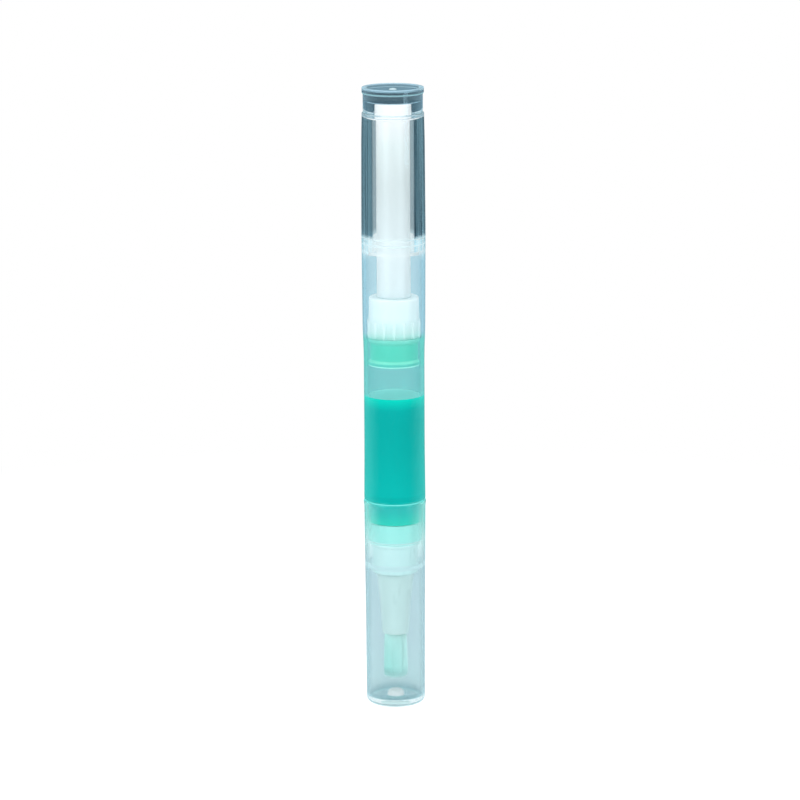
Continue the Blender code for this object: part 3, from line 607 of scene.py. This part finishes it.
@dataclass
class Barrel:
    """The oil barrel, with its slim neck, its ledge for the nut and its snap groove."""

    foot: float = 55.8
    top: float = 125.85
    neck_end: float = 44.4
    neck_radius: float = 7.1
    neck_bore: float = 6.1
    collar_top: float = 49.4
    foot_radius: float = 8.1
    funnel: float = 1.5
    waist_radius: float = 7.96
    waist_foot: float = 69.1
    waist_top: float = 95.0
    shoulder_radius: float = 8.21
    shoulder_height: float = 101.3
    rim_radius: float = 8.36
    bore: float = 7.0
    upper_bore: float = 7.3
    ledge: float = 99.4
    mouth_floor: float = 121.7
    mouth_bore: float = 7.55
    groove_radius: float = 7.94
    groove_foot: float = 123.6
    groove_top: float = 124.7
    # Painted light and shade in the barrel's colours: the tints on the way out are near white by the neck
    # and the knob's joint, painted light; the dark and light colours are painted reflections, mint where
    # the oil and the piston lie; the gloss reflects the lamps, tinted teal beside the oil as a painted
    # reflection colour; the haze turns mint in the oil zone and grows at the rims, painted light on the
    # oil's edges.
    finish = ClearPlastic(
        "barrel_plastic",
        way_out=(
            (45.0, (0.97, 1.0, 1.0)), (50.0, (0.80, 0.97, 0.96)), (54.0, (0.46, 0.75, 0.83)),
            (119.5, (0.54, 0.77, 0.86)), (121.5, (0.88, 0.98, 1.0)),
        ),
        slant=(
            (50.0, (0.97, 1.0, 1.0)), (54.0, (0.34, 0.59, 0.71)), (119.5, (0.34, 0.59, 0.71)),
            (121.5, (0.78, 0.94, 0.98)),
        ),
        dark=(
            (49.0, (0.92, 1.0, 1.0)), (50.5, (0.50, 0.95, 0.90)), (84.0, (0.42, 0.88, 0.78)),
            (91.4, (0.42, 0.88, 0.78)), (92.0, (0.26, 0.88, 0.68)), (99.2, (0.26, 0.88, 0.68)),
            (101.0, (0.62, 0.80, 0.86)), (121.4, (0.62, 0.80, 0.86)), (121.8, (0.80, 0.95, 1.0)),
        ),
        light=(
            (49.0, (0.96, 1.0, 1.0)), (50.5, (0.60, 1.0, 0.96)), (84.0, (0.55, 0.97, 0.86)),
            (91.4, (0.55, 0.97, 0.86)), (92.0, (0.36, 0.98, 0.78)), (99.2, (0.36, 0.98, 0.78)),
            (101.0, (0.78, 0.95, 1.0)),
        ),
        shine=((84.0, (0.08, 0.50, 0.46)), (101.0, (0.28, 0.48, 0.54))),
        film=((53.0, CLEAR), (56.0, (0.69, 0.91, 0.88)), (99.0, (0.69, 0.91, 0.88)), (100.2, CLEAR)),
        haze=(
            (50.0, (0.75, 1.0, 1.0)), (54.0, (0.40, 1.0, 0.96)), (57.0, (0.20, 1.0, 0.95)),
            (83.0, (0.20, 1.0, 0.95)), (85.0, (0.34, 0.86, 0.84)), (99.0, (0.26, 0.92, 0.86)),
            (101.0, (0.56, 0.80, 0.9)),
        ),
        haze_share=0.01,
        rim_haze=0.34,
    )

    def skin(self) -> Skin:
        """The wall, down the outside to the neck's end and up the bore to the snap groove."""
        rows = [
            (self.rim_radius, self.top, 0.04, OUT),
            (self.shoulder_radius, self.shoulder_height, 4.0, OUT),
            (self.waist_radius, (self.waist_top, self.waist_foot), 3.0, OUT),
            ((self.foot_radius, self.neck_radius), self.foot, (0.3, 0.15), OUT),
            (self.neck_radius, self.neck_end, 0.3, EDGE),
            (self.neck_bore, self.neck_end, 0.12, JOIN),
            (self.neck_bore, (self.collar_top, self.foot), (0.0, 0.3), IN),
            (self.bore, self.foot + self.funnel, 0.3, IN),
            (self.bore, self.ledge, 0.05, JOIN),
            (self.upper_bore, self.ledge, 0.05, IN),
            (self.upper_bore, self.mouth_floor, 0.08, JOIN),
            (self.mouth_bore, (self.mouth_floor, self.groove_foot), (0.08, 0.12), JOIN),
            (self.groove_radius, (self.groove_foot, self.groove_top), 0.15, JOIN),
            (self.mouth_bore, (self.groove_top, self.top), (0.12, 0.15), JOIN),
        ]
        return lathe(rows)

    def build(self) -> None:
        """Make the barrel."""
        place("barrel_shell", self.skin(), self.finish.every(), "barrel", "barrel_plastic", "barrel")


@dataclass
class Knob:
    """The clear turning knob and the end plug that closes it."""

    foot: float = 125.89
    top: float = 158.4
    foot_radius: float = 8.4
    shoulder_radius: float = 8.24
    shoulder_height: float = 151.95
    rim_radius: float = 8.08
    bore: float = 5.5
    spigot_end: float = 121.74
    spigot_radius: float = 7.25
    bead_radius: float = 7.75
    bead_foot: float = 123.4
    bead_top: float = 124.65
    socket_radius: float = 6.6
    socket_floor: float = 157.0
    plug_top: float = 165.0
    plug_radius: float = 8.07
    plug_rim: float = 1.1
    plug_neck_radius: float = 7.8
    plug_spigot: float = 6.3
    plug_foot: float = 157.3
    pocket_radius: float = 5.05
    pocket_top: float = 161.3
    flange_foot: float = 163.4
    dish: float = 164.2
    nub_radius: float = 1.2
    nub_height: float = 0.45
    # Painted shade and light in the knob's colours: the tint on the way out is dark above the joint,
    # painted shade for a dark surround seen through the clear wall; the dark and light colours are painted
    # reflections; the edge colour paints a bright line at the foot and dull lines above.
    finish = ClearPlastic(
        "clear_plastic",
        way_out=((125.2, (0.74, 0.91, 0.97)), (127.6, (0.32, 0.41, 0.45))),
        slant=((125.2, (0.74, 0.91, 0.97)), (127.6, (0.66, 0.84, 0.88))),
        dark=((125.5, (0.62, 0.84, 0.92)), (126.5, (0.02, 0.06, 0.09))),
        light=((125.5, (0.98, 1.0, 1.0)), (126.5, (0.26, 0.40, 0.46))),
        shine=((125.2, (0.45, 0.62, 0.68)), (127.6, (0.16, 0.27, 0.33))),
        painted_glint=(
            (126.6, (0.80, 0.95, 0.98)), (127.5, (0.12, 0.20, 0.24)), (157.6, (0.12, 0.20, 0.24)),
            (158.3, (0.50, 0.70, 0.78)),
        ),
        haze=(0.30, 0.54, 0.65),
        haze_share=0.01,
        rim_haze=0.15,
        ripple=0.00003,
    )
    # Painted shade and light in the plug's colours: a near-black tint on the way out, painted shade; dark
    # and light painted reflections; the edge colour paints the bright spots by the socket, the flange's
    # line and the tones of the dished top.
    plug_finish = ClearPlastic(
        "plug_plastic",
        way_out=(0.05, 0.10, 0.13),
        slant=(0.15, 0.26, 0.32),
        dark=(0.50, 0.68, 0.76),
        light=(0.85, 0.96, 1.0),
        shine=(0.34, 0.52, 0.62),
        painted_glint=(
            (157.3, (0.80, 0.94, 1.0)), (163.7, (0.36, 0.66, 0.72)), (164.1, (0.24, 0.41, 0.51)),
            (164.3, (0.25, 0.42, 0.52)), (164.7, (0.22, 0.37, 0.46)), (164.95, (0.58, 0.86, 1.0)),
        ),
        ripple=0.00003,
    )

    def tube(self) -> Skin:
        """The thick tube, with its spigot and snap bead, and the plug's socket at its top."""
        rows = [
            ((self.plug_neck_radius, self.rim_radius), self.top, (0.02, 0.2), EDGE),
            (self.rim_radius + 0.005, self.top - 0.25, 0.02, OUT),
            (self.shoulder_radius, self.shoulder_height, 2.5, OUT),
            (self.foot_radius, (self.foot + 0.18, self.foot), (0.02, 0.05), EDGE),
            (self.foot_radius - 0.1, self.foot, 0.02, JOIN),
            (self.spigot_radius, (self.foot, self.bead_top), (0.05, 0.12), JOIN),
            (self.bead_radius, self.bead_top - 0.25, 0.12, EDGE),
            (self.bead_radius, self.bead_foot + 0.5, 0.12, JOIN),
            (self.spigot_radius, (self.bead_foot, self.spigot_end), (0.12, 0.3), JOIN),
            (self.bore, self.spigot_end, 0.2, JOIN),
            (self.bore, self.spigot_end + 0.5, 0.02, IN),
            (self.bore, self.socket_floor, 0.04, JOIN),
            (self.socket_radius, (self.socket_floor, self.top), (0.04, 0.05), JOIN),
        ]
        return lathe(rows)

    def plug(self) -> Skin:
        """The plug: dished top with a gate nub, flange, neck, and the sleeve's socket below."""
        rim = self.plug_radius - self.plug_rim
        rows = [
            ((0, self.nub_radius - 0.5), self.dish + self.nub_height, (0, 0.25), SPOT),
            ((self.nub_radius, rim - 0.7), self.dish, (0.2, 0.5), EDGE),
            ((rim, self.plug_radius), self.plug_top, (0.4, 0.3), EDGE),
            (self.plug_radius, self.plug_top - 0.4, 0.02, OUT),
            (self.plug_radius, self.flange_foot + 0.3, 0.1, EDGE),
            ((self.plug_radius - 0.1, self.plug_neck_radius), self.flange_foot, (0.08, 0.12), OUT),
            ((self.plug_neck_radius, self.plug_spigot), self.top + 0.04, 0.02, JOIN),
            (self.plug_spigot, self.plug_foot, 0.05, EDGE),
            (self.pocket_radius, (self.plug_foot, self.pocket_top), (0.05, 0.25), IN),
            (0, self.pocket_top, 0, IN),
        ]
        return lathe(rows)

    def build(self) -> None:
        """Make the knob's tube and its plug."""
        place("knob_wall", self.tube(), self.finish.every(), "knob", "clear_plastic", "knob_tube")
        finishes = [*self.plug_finish.every(), self.plug_finish.spot()]
        place("end_plug_body", self.plug(), finishes, "knob", "clear_plastic", "end_plug")


@dataclass
class Drive:
    """The sleeve, the nut and the two-start screw that turn the knob's twist into a push."""

    lead: float = 5.0
    starts: int = 2
    major: float = 2.7
    root: float = 2.1
    clearance: float = 0.3
    crest_share: float = 0.3
    flank_share: float = 0.14
    nut_foot: float = 99.45
    nut_top: float = 110.0
    nut_radius: float = 6.55
    cone_top: float = 108.0
    cone_radius: float = 6.7
    ribs: int = 16
    rib_top: float = 103.85
    rib_reach: float = 7.0
    stem_top: float = 103.6
    stem_radius: float = 6.68
    sleeve_radius: float = 4.42
    sleeve_foot: float = 110.04
    sleeve_top: float = 161.0
    sleeve_bore: float = 3.2
    head_radius: float = 4.75
    head_foot: float = 157.0
    head_wall: float = 2.0
    groove_reach: float = 3.8
    key_radius: float = 2.9
    key_foot: float = 146.5
    key_top: float = 153.5
    wing: float = 0.6
    button_radius: float = 2.0
    button_foot: float = 96.7
    button_top: float = 98.9
    shank_radius: float = 1.4
    # Whiter towards the head and darker about 140 mm: painted light and painted shade on the sleeve
    finish = MouldedPlastic(
        "white_plastic",
        colour=(
            (110.0, (0.76, 0.86, 0.88)), (124.0, (0.78, 0.87, 0.89)), (140.0, (0.73, 0.80, 0.80)),
            (150.0, (0.82, 0.90, 0.89)), (157.0, (0.98, 0.99, 0.99)),
        ),
        roughness=0.38,
    )
    # Mint towards the foot: painted light from the mint piston below; the emission is a painted glow
    nut_finish = MouldedPlastic(
        "nut_plastic",
        colour=((99.7, (0.42, 0.82, 0.75)), (101.5, (0.56, 0.79, 0.76)), (105.0, (0.68, 0.84, 0.86))),
        roughness=0.38,
        glow=1.0,
        spread=0.008,
        emitted_glow=0.12,
    )

    def thread(self, height: Array, angle: Array, gap: float) -> Array:
        """The radius of the screw, grown by a gap all round.

        The start that a point belongs to turns once for each lead of height. How far the point is from
        that start's crest, as a share of the pitch, carries the radius from crest to root.
        """
        pitch = self.lead / self.starts
        start = (angle - TURN * height / self.lead) * self.starts / TURN
        away = np.abs(start - np.round(start)) - gap / pitch
        share = np.clip((self.crest_share / 2 + self.flank_share - away) / self.flank_share, 0, 1)
        return self.root + gap + (self.major - self.root) * share

    def nut(self) -> Skin:
        """The nut: flange, cone, ribbed stem and threaded bore."""
        bore = self.major + self.clearance
        rows = [
            (self.nut_radius, (self.nut_top, self.cone_top), (0.35, 0.3)),
            (self.cone_radius, (self.rib_top + 0.01, self.rib_top), 0),
            (self.cone_radius - 0.01, self.stem_top, 0.02),
            (self.stem_radius, (self.stem_top, self.nut_foot), (0.1, 0.15)),
            (bore, (self.nut_foot, self.nut_top), 0.1),
        ]

        def shape(radius: Array, height: Array, angle: Array) -> Array:
            """Ribs evenly round the stem, and the thread in the bore."""
            rib = np.clip((np.cos(self.ribs * angle) - 0.55) / 0.22, 0, 1)
            reach = np.where(radius > self.stem_radius - 0.2, self.rib_reach - radius, 0.0)
            ribbed_zone = (height < self.rib_top + 0.005) & (radius > self.stem_radius - 0.01)
            grown = radius + np.where(ribbed_zone, rib * reach, 0.0)
            edge = np.minimum(height - self.nut_foot, self.nut_top - height)
            bored = np.where(edge < 0.05, bore, self.thread(height, angle, self.clearance))
            return np.where(radius < bore + 0.01, bored, grown)

        return lathe(rows, 256, step=0.25, shape=shape)

    def sleeve(self) -> Skin:
        """The sleeve: closed head, long tube, and four grooves up its bore for the rod's key."""
        end = self.sleeve_top - self.head_wall
        rows = [
            (0, self.sleeve_top, 0),
            (self.head_radius, (self.sleeve_top, self.head_foot), (0.45, 0.2)),
            (self.sleeve_radius, self.head_foot - 0.35, 0.2),
            (self.sleeve_radius, self.sleeve_foot, 0.15),
            (self.sleeve_bore, (self.sleeve_foot, end), (0.12, 0.1)),
            (0, end, 0),
        ]

        def shape(radius: Array, height: Array, angle: Array) -> Array:
            """The bore reaches further out near each quarter turn."""
            near = np.clip((np.cos(4 * angle) - 0.25) / 0.25, 0, 1)
            bore = (np.abs(radius - self.sleeve_bore) < 0.01) & (height < end - 0.25)
            return radius + np.where(bore, near * (self.groove_reach - self.sleeve_bore), 0.0)

        return lathe(rows, step=4.0, shape=shape)

    def rod(self) -> Skin:
        """The rod: snap button, two-start screw, and the crossed key at its head."""
        rows = [
            (0, self.button_foot, 0),
            (self.button_radius, (self.button_foot, self.button_top), (0.3, 0.1)),
            (self.shank_radius, (self.button_top, self.nut_foot), (0.1, 0)),
            (self.root, (self.nut_foot + 0.02, self.key_foot - 0.02), 0),
            (self.key_radius, (self.key_foot, self.key_top), (0.1, 0.2)),
            (0, self.key_top, 0),
        ]

        def shape(radius: Array, height: Array, angle: Array) -> Array:
            """The screw between the button and the key, and four wings round the key."""
            screwed = (height > self.nut_foot + 0.01) & (height < self.key_foot - 0.01)
            winged = (height > self.key_foot + 0.3) & (height < self.key_top - 0.3)
            wing = np.clip((np.cos(4 * angle) - 0.55) / 0.2, 0, 1) * self.wing
            grown = radius + np.where(winged, wing, 0.0)
            return np.where(screwed, self.thread(height, angle, 0.0), grown)

        return lathe(rows, 64, step=0.25, shape=shape)

    def build(self) -> None:
        """Make the nut, the sleeve and the rod."""
        white = self.finish.material()
        place("nut_body", self.nut(), [self.nut_finish.material()], "barrel", "white_plastic", "guide_nut")
        place("sleeve_body", self.sleeve(), [white], "knob", "white_plastic", "drive_sleeve")
        place("rod_body", self.rod(), [white], "screw", "white_plastic", "screw_rod")


@dataclass
class Piston:
    """The mint piston, with two sealing lips, a drawn-in waist and a hub that the rod snaps into."""

    foot: float = 91.8
    top: float = 99.4
    lip_radius: float = 6.78
    waist_radius: float = 6.28
    lip_height: float = 0.9
    nose_radius: float = 6.3
    nose_height: float = 0.2
    skirt_bore: float = 5.38
    skirt_floor: float = 94.8
    hub_radius: float = 3.5
    socket_radius: float = 2.3
    socket_floor: float = 96.4
    socket_top: float = 99.2
    snap_radius: float = 1.7
    # Bright and dark bands on the lips by height: painted highlights and painted shade; the emission is a
    # painted glow
    finish = MouldedPlastic(
        "mint_plastic",
        colour=(
            (92.2, (0.50, 0.92, 0.84)), (92.35, (0.14, 0.52, 0.47)), (92.8, (0.14, 0.55, 0.48)),
            (93.1, (0.32, 0.80, 0.66)), (93.4, (0.32, 0.80, 0.66)), (93.8, (0.14, 0.63, 0.51)),
            (97.5, (0.14, 0.63, 0.51)), (99.4, (0.30, 0.70, 0.62)),
        ),
        shade=(0.86, 0.95, 0.935),
        roughness=0.22,
        grain=0.000002,
        emitted_glow=0.14,
    )

    def skin(self) -> Skin:
        """The piston, from the button's socket over the skirt and down the lips to the nose."""
        nose = self.foot + self.nose_height
        rows = [
            (0, self.socket_floor, 0),
            (self.socket_radius, (self.socket_floor, self.socket_top), 0.1),
            (self.snap_radius, (self.socket_top, self.top), 0.08),
            (self.hub_radius, (self.top, self.skirt_floor), (0.12, 0.3)),
            (self.skirt_bore, (self.skirt_floor, self.top), (0.3, 0.12)),
            (self.lip_radius, (self.top, self.top - self.lip_height), (0.2, 0.25)),
            (self.waist_radius, (self.top - self.lip_height - 0.5, nose + self.lip_height + 0.5), 0.3),
            (self.lip_radius, (nose + self.lip_height, nose), (0.25, 0.3)),
            ((self.nose_radius, 0), self.foot, (0.4, 0)),
        ]
        return lathe(rows)

    def build(self) -> None:
        """Make the piston."""
        place("piston_body", self.skin(), [self.finish.material()], "piston", "mint_plastic", "piston")


@dataclass
class Oil:
    """The oil, wetting the bore and climbing it a little at its level."""

    level: float = 83.6
    climb: float = 0.12
    meniscus: float = 0.5
    radius: float = 7.06
    neck_radius: float = 6.16
    shoulder: float = 55.8
    funnel: float = 1.5
    foot: float = 49.55
    lowest_share: float = 0.195
    # Lighter near the oil's foot and near its level: painted light
    finish = TintedOil(
        "oil",
        colour=(
            (50.0, (0.0, 0.66, 0.53)), (53.5, (0.0, 0.50, 0.46)), (76.0, (0.0, 0.42, 0.39)),
            (80.5, (0.0, 0.42, 0.39)), (83.2, (0.0, 0.66, 0.54)),
        ),
    )

    def skin(self) -> Skin:
        """The oil's body, from the middle of its level out to the meniscus and down to the collar."""
        rows = [
            ((0, self.radius - self.meniscus), self.level, (0, 0.2), 1),
            (self.radius, (self.level + self.climb, self.shoulder + self.funnel), (0.05, 0.3), 0),
            (self.neck_radius, (self.shoulder, self.foot), (0.3, 0.2), 0),
            (0, self.foot, 0, 0),
        ]
        return lathe(rows, step=3.0)

    def build(self) -> None:
        """Make the oil, with a mesh of its own."""
        finishes = [self.finish.material(), self.finish.level()]
        body = place("oil_body", self.skin(), finishes, "barrel", "oil", "oil_fill")
        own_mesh(body)


@dataclass
class Brush:
    """The collar, the ferrule, the feed tube and the soft brush."""

    collar_top: float = 49.4
    collar_radius: float = 6.09
    collar_bore: float = 4.7
    collar_floor: float = 47.5
    collar_foot: float = 35.9
    flange: float = 44.1
    flange_radius: float = 6.6
    flange_foot: float = 43.3
    feed_bore: float = 1.2
    shank_radius: float = 4.4
    shank_bore: float = 3.4
    shank_top: float = 47.2
    shoulder: float = 35.6
    shoulder_radius: float = 4.85
    taper: float = 27.3
    taper_radius: float = 4.0
    taper_bore: float = 3.0
    web: float = 22.6
    web_bore: float = 2.71
    socket: float = 21.0
    socket_radius: float = 3.15
    mouth: float = 19.0
    mouth_radius: float = 3.5
    tube_top: float = 49.0
    tube_foot: float = 17.6
    tube_radius: float = 0.9
    tube_bore: float = 0.45
    backing_top: float = 20.7
    backing_foot: float = 19.4
    backing_radius: float = 2.95
    root: float = 19.8
    root_radius: float = 2.8
    root_bore: float = 1.3
    tip: float = 6.7
    tip_radius: float = 3.1
    tip_bore: float = 0.2
    dome: float = 0.5
    uneven: float = 0.35
    astray: float = 0.03
    belly: float = 0.16
    strands: int = 1500
    strand_radius: float = 0.062
    rings: tuple[float, ...] = (0.0, 0.35, 0.75, 1.0)
    ring_sizes: tuple[float, ...] = (1.0, 1.0, 0.9, 0.35)
    # The collar's and the ferrule's emission is a painted glow
    collar_finish = MouldedPlastic(
        "collar_plastic",
        colour=((43.6, (0.50, 0.73, 0.73)), (45.0, (0.33, 0.76, 0.70))),
        shade=(0.93, 0.96, 0.96),
        glow=0.25,
        emitted_glow=0.07,
    )
    finish = MouldedPlastic(
        "pale_plastic",
        colour=(0.47, 0.64, 0.63),
        shade=(0.94, 0.95, 0.95),
        glow=0.25,
        emitted_glow=0.15,
    )
    # Lighter towards the root: painted light against the shade under the ferrule; the emission is a
    # painted glow
    hair = MouldedPlastic(
        "brush_hair",
        colour=((7.0, (0.57, 0.95, 0.92)), (19.0, (0.66, 0.96, 0.93))),
        shade=(0.91, 0.97, 0.96),
        roughness=0.4,
        grain=0.000002,
        glow=0.4,
        emitted_glow=0.125,
    )

    def collar(self) -> Skin:
        """The collar: spigot in the neck, flange under it, and body round the ferrule's shank."""
        rows = [
            (self.collar_radius, (self.collar_top, self.flange), (0.3, 0.1)),
            (self.flange_radius, (self.flange, self.flange_foot), 0.15),
            (self.collar_radius + 0.01, (self.flange_foot, self.collar_foot), (0.2, 0.35)),
            (self.collar_bore, (self.collar_foot, self.collar_floor), (0.15, 0.2)),
            (self.feed_bore, (self.collar_floor, self.collar_top), (0.1, 0.15)),
        ]
        return lathe(rows, 96)

    def ferrule(self) -> Skin:
        """The ferrule: shank, shoulder, long taper, and the mouth that grips the brush."""
        rows = [
            (self.shank_radius, (self.shank_top, self.shoulder), (0.25, 0.1)),
            (self.shoulder_radius, (self.shoulder, self.shoulder - 0.7), (0.15, 0.2)),
            (self.taper_radius, self.taper, 2.5),
            (self.mouth_radius, self.mouth, 0.12),
            (self.socket_radius, (self.mouth, self.socket), 0.1),
            (self.feed_bore, (self.socket, self.web), 0.1),
            (self.web_bore, self.web, 0.3),
            (self.taper_bore, self.taper, 2.0),
            (self.shank_bore, (self.shoulder, self.shank_top), (0.5, 0.15)),
        ]
        return lathe(rows, 96)

    def tube(self) -> Skin:
        """The feed tube's wall."""
        return ring(self.tube_radius, self.tube_bore, self.tube_top, self.tube_foot, 0.06, 32)

    def backing(self) -> Skin:
        """The ring that the strands are fused to."""
        return ring(self.backing_radius, self.feed_bore, self.backing_top, self.backing_foot, 0.1, 64)

    def hairs(self) -> Skin:
        """The strands, spread by the golden angle over the backing and drawn to a soft tip.

        A strand's angle is its number times the golden angle, and its distance from the axis grows with
        the root of its number. Rings of three points follow it down. It bellies out a little on the way,
        and strands further out are shorter, by a quarter ellipse.
        """
        number = np.arange(self.strands)
        share = (number + 0.5) / self.strands
        chance = np.random.default_rng(7)
        angle = number * math.pi * (3 - math.sqrt(5))
        root = np.sqrt(self.root_bore**2 + (self.root_radius**2 - self.root_bore**2) * share)
        tip = np.sqrt(self.tip_bore**2 + (self.tip_radius**2 - self.tip_bore**2) * share)
        tip = np.clip(tip + chance.normal(0, self.astray, self.strands), 0.1, self.tip_radius)
        end = self.tip + self.dome * (1 - np.sqrt(1 - share**2))
        end += np.abs(chance.normal(0, self.uneven, self.strands))
        down = np.array(self.rings)[None, :]
        belly = self.belly * share[:, None] * np.sin(math.pi * down)
        radius = root[:, None] + (tip - root)[:, None] * down + belly
        height = self.root + (end - self.root)[:, None] * down
        thick = self.strand_radius * np.array(self.ring_sizes)
        offset = thick[:, None] * np.exp(1j * TURN * np.arange(3) / 3)
        flat = (radius * np.exp(1j * angle[:, None]))[:, :, None] + offset
        grid = np.stack((flat.real, flat.imag, np.broadcast_to(height[:, :, None], flat.shape)), -1) * MM
        index = np.arange(flat.size).reshape(flat.shape)
        beside = np.roll(index, -1, 2)
        quads = np.stack((index[:, :-1], index[:, 1:], beside[:, 1:], beside[:, :-1]), -1).reshape(-1, 4)
        blocks = [quads, index[:, 0], index[:, -1, ::-1]]
        return Skin(grid.reshape(-1, 3), blocks, [np.zeros(len(block), int) for block in blocks])

    def build(self) -> None:
        """Make the collar, the ferrule, the tube and the brush."""
        pale = self.finish.material()
        minted = self.collar_finish.material()
        place("collar_body", self.collar(), [minted], "barrel", "pale_plastic", "brush_collar")
        place("ferrule_body", self.ferrule(), [pale], "barrel", "pale_plastic", "brush_ferrule")
        place("feed_tube_body", self.tube(), [pale], "barrel", "white_plastic", "feed_tube")
        hairs = self.backing() + self.hairs()
        place("brush_hairs", hairs, [self.hair.material()], "barrel", "brush_hair", "brush_bristles")


# Studio


@dataclass
class Studio:
    """A pale floor that is white away from the pen, soft lamps, and the camera of the photograph."""

    distance: float = 0.979
    camera_height: float = 0.2956
    pitch: float = 12.302
    yaw: float = 0.087
    roll: float = -0.29
    lens: float = 171.3
    middle: float = 0.09
    floor_reach: float = 6.0
    shadow_end: float = 0.05
    white_start: float = 0.3

    def floor(self) -> None:
        """A floor that takes the pen's shadow near it and is plain white further off."""
        reach = self.floor_reach
        points = [(-reach, -reach, 0), (reach, -reach, 0), (reach, reach, 0), (-reach, reach, 0)]
        mesh = bpy.data.meshes.new("floor")
        mesh.from_pydata(points, [], [(0, 1, 2, 3)])
        floor = added("floor", mesh)
        graph = Graph("floor_white")
        away = graph.add("VectorMath", {0: graph.place()}, out="Value", operation="LENGTH")
        far = graph.between(away, self.shadow_end, self.white_start)
        paint = graph.add("BsdfDiffuse", {"Color": (0.9, 0.9, 0.9)})
        emitted_glow = graph.add("Emission", {"Color": CLEAR, "Strength": 0.3})
        near = graph.add("AddShader", {0: paint, 1: emitted_glow})
        white = graph.add("Emission", {"Color": CLEAR, "Strength": 1.0})
        shown = graph.mixed(far, near, white)
        mesh.materials.append(graph.finish(graph.mixed(graph.rays(*SEEN), paint, shown)))

    def world(self) -> None:
        """White for what is looked at, and a softer level for what it lights."""
        graph = Graph("studio", "worlds", "OutputWorld")
        fill = graph.add("Background", {"Color": CLEAR, "Strength": 0.45})
        shown = graph.add("Background", {"Color": CLEAR, "Strength": 1.0})
        bpy.context.scene.world = graph.finish(graph.mixed(graph.rays(*SEEN), fill, shown))

    def lamp(self, name: str, spot: Colour, size: tuple[float, float], power: float) -> None:
        """A soft lamp that faces the middle of the pen.

        Args:
            name: The lamp's name.
            spot: Where it stands, in metres.
            size: Its width and height, in metres.
            power: Its power, in watts.
        """
        data = bpy.data.lights.new(name, "AREA")
        data.shape = "RECTANGLE"
        data.size, data.size_y = size
        data.energy = power
        lamp = added(name, data)
        away = Vector(spot) - Vector((0.0, 0.0, self.middle))
        lamp.matrix_world = Matrix.LocRotScale(Vector(spot), away.to_track_quat("Z", "Y"), None)

    def camera(self) -> None:
        """The photograph's camera: a long lens, a little above the pen and looking down at it."""
        data = bpy.data.cameras.new("camera")
        data.lens = self.lens
        data.clip_end = 50.0
        camera = added("camera", data)
        turn = (
            Matrix.Rotation(math.radians(-self.yaw), 4, "Z")
            @ Matrix.Rotation(math.radians(90 - self.pitch), 4, "X")
            @ Matrix.Rotation(math.radians(self.roll), 4, "Z")
        )
        camera.matrix_world = Matrix.Translation((0.0, -self.distance, self.camera_height)) @ turn
        bpy.context.scene.camera = camera

    def build(self) -> None:
        """Set up the floor, the world, the lamps and the camera."""
        self.floor()
        self.world()
        self.lamp("key_lamp", (-0.55, -0.55, 0.45), (0.25, 0.7), 4.6)
        self.lamp("fill_lamp", (0.60, -0.50, 0.35), (0.3, 0.7), 3.1)
        self.lamp("top_lamp", (0.05, 0.25, 0.9), (0.5, 0.5), 2.4)
        self.camera()
        scene = bpy.context.scene
        scene.view_settings.view_transform = "Standard"
        scene.cycles.transparent_max_bounces = 32
        scene.cycles.transmission_bounces = 24
        scene.cycles.glossy_bounces = 8
        scene.cycles.max_bounces = 28


def main() -> None:
    """Dress the whole pen and set the studio."""
    logging.basicConfig(level=logging.INFO, format="%(message)s")
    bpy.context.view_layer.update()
    for group in (Studio(), Cap(), Barrel(), Knob(), Drive(), Piston(), Oil(), Brush()):
        group.build()
        LOG.info("%s done", type(group).__name__)


if __name__ == "__main__":
    main()
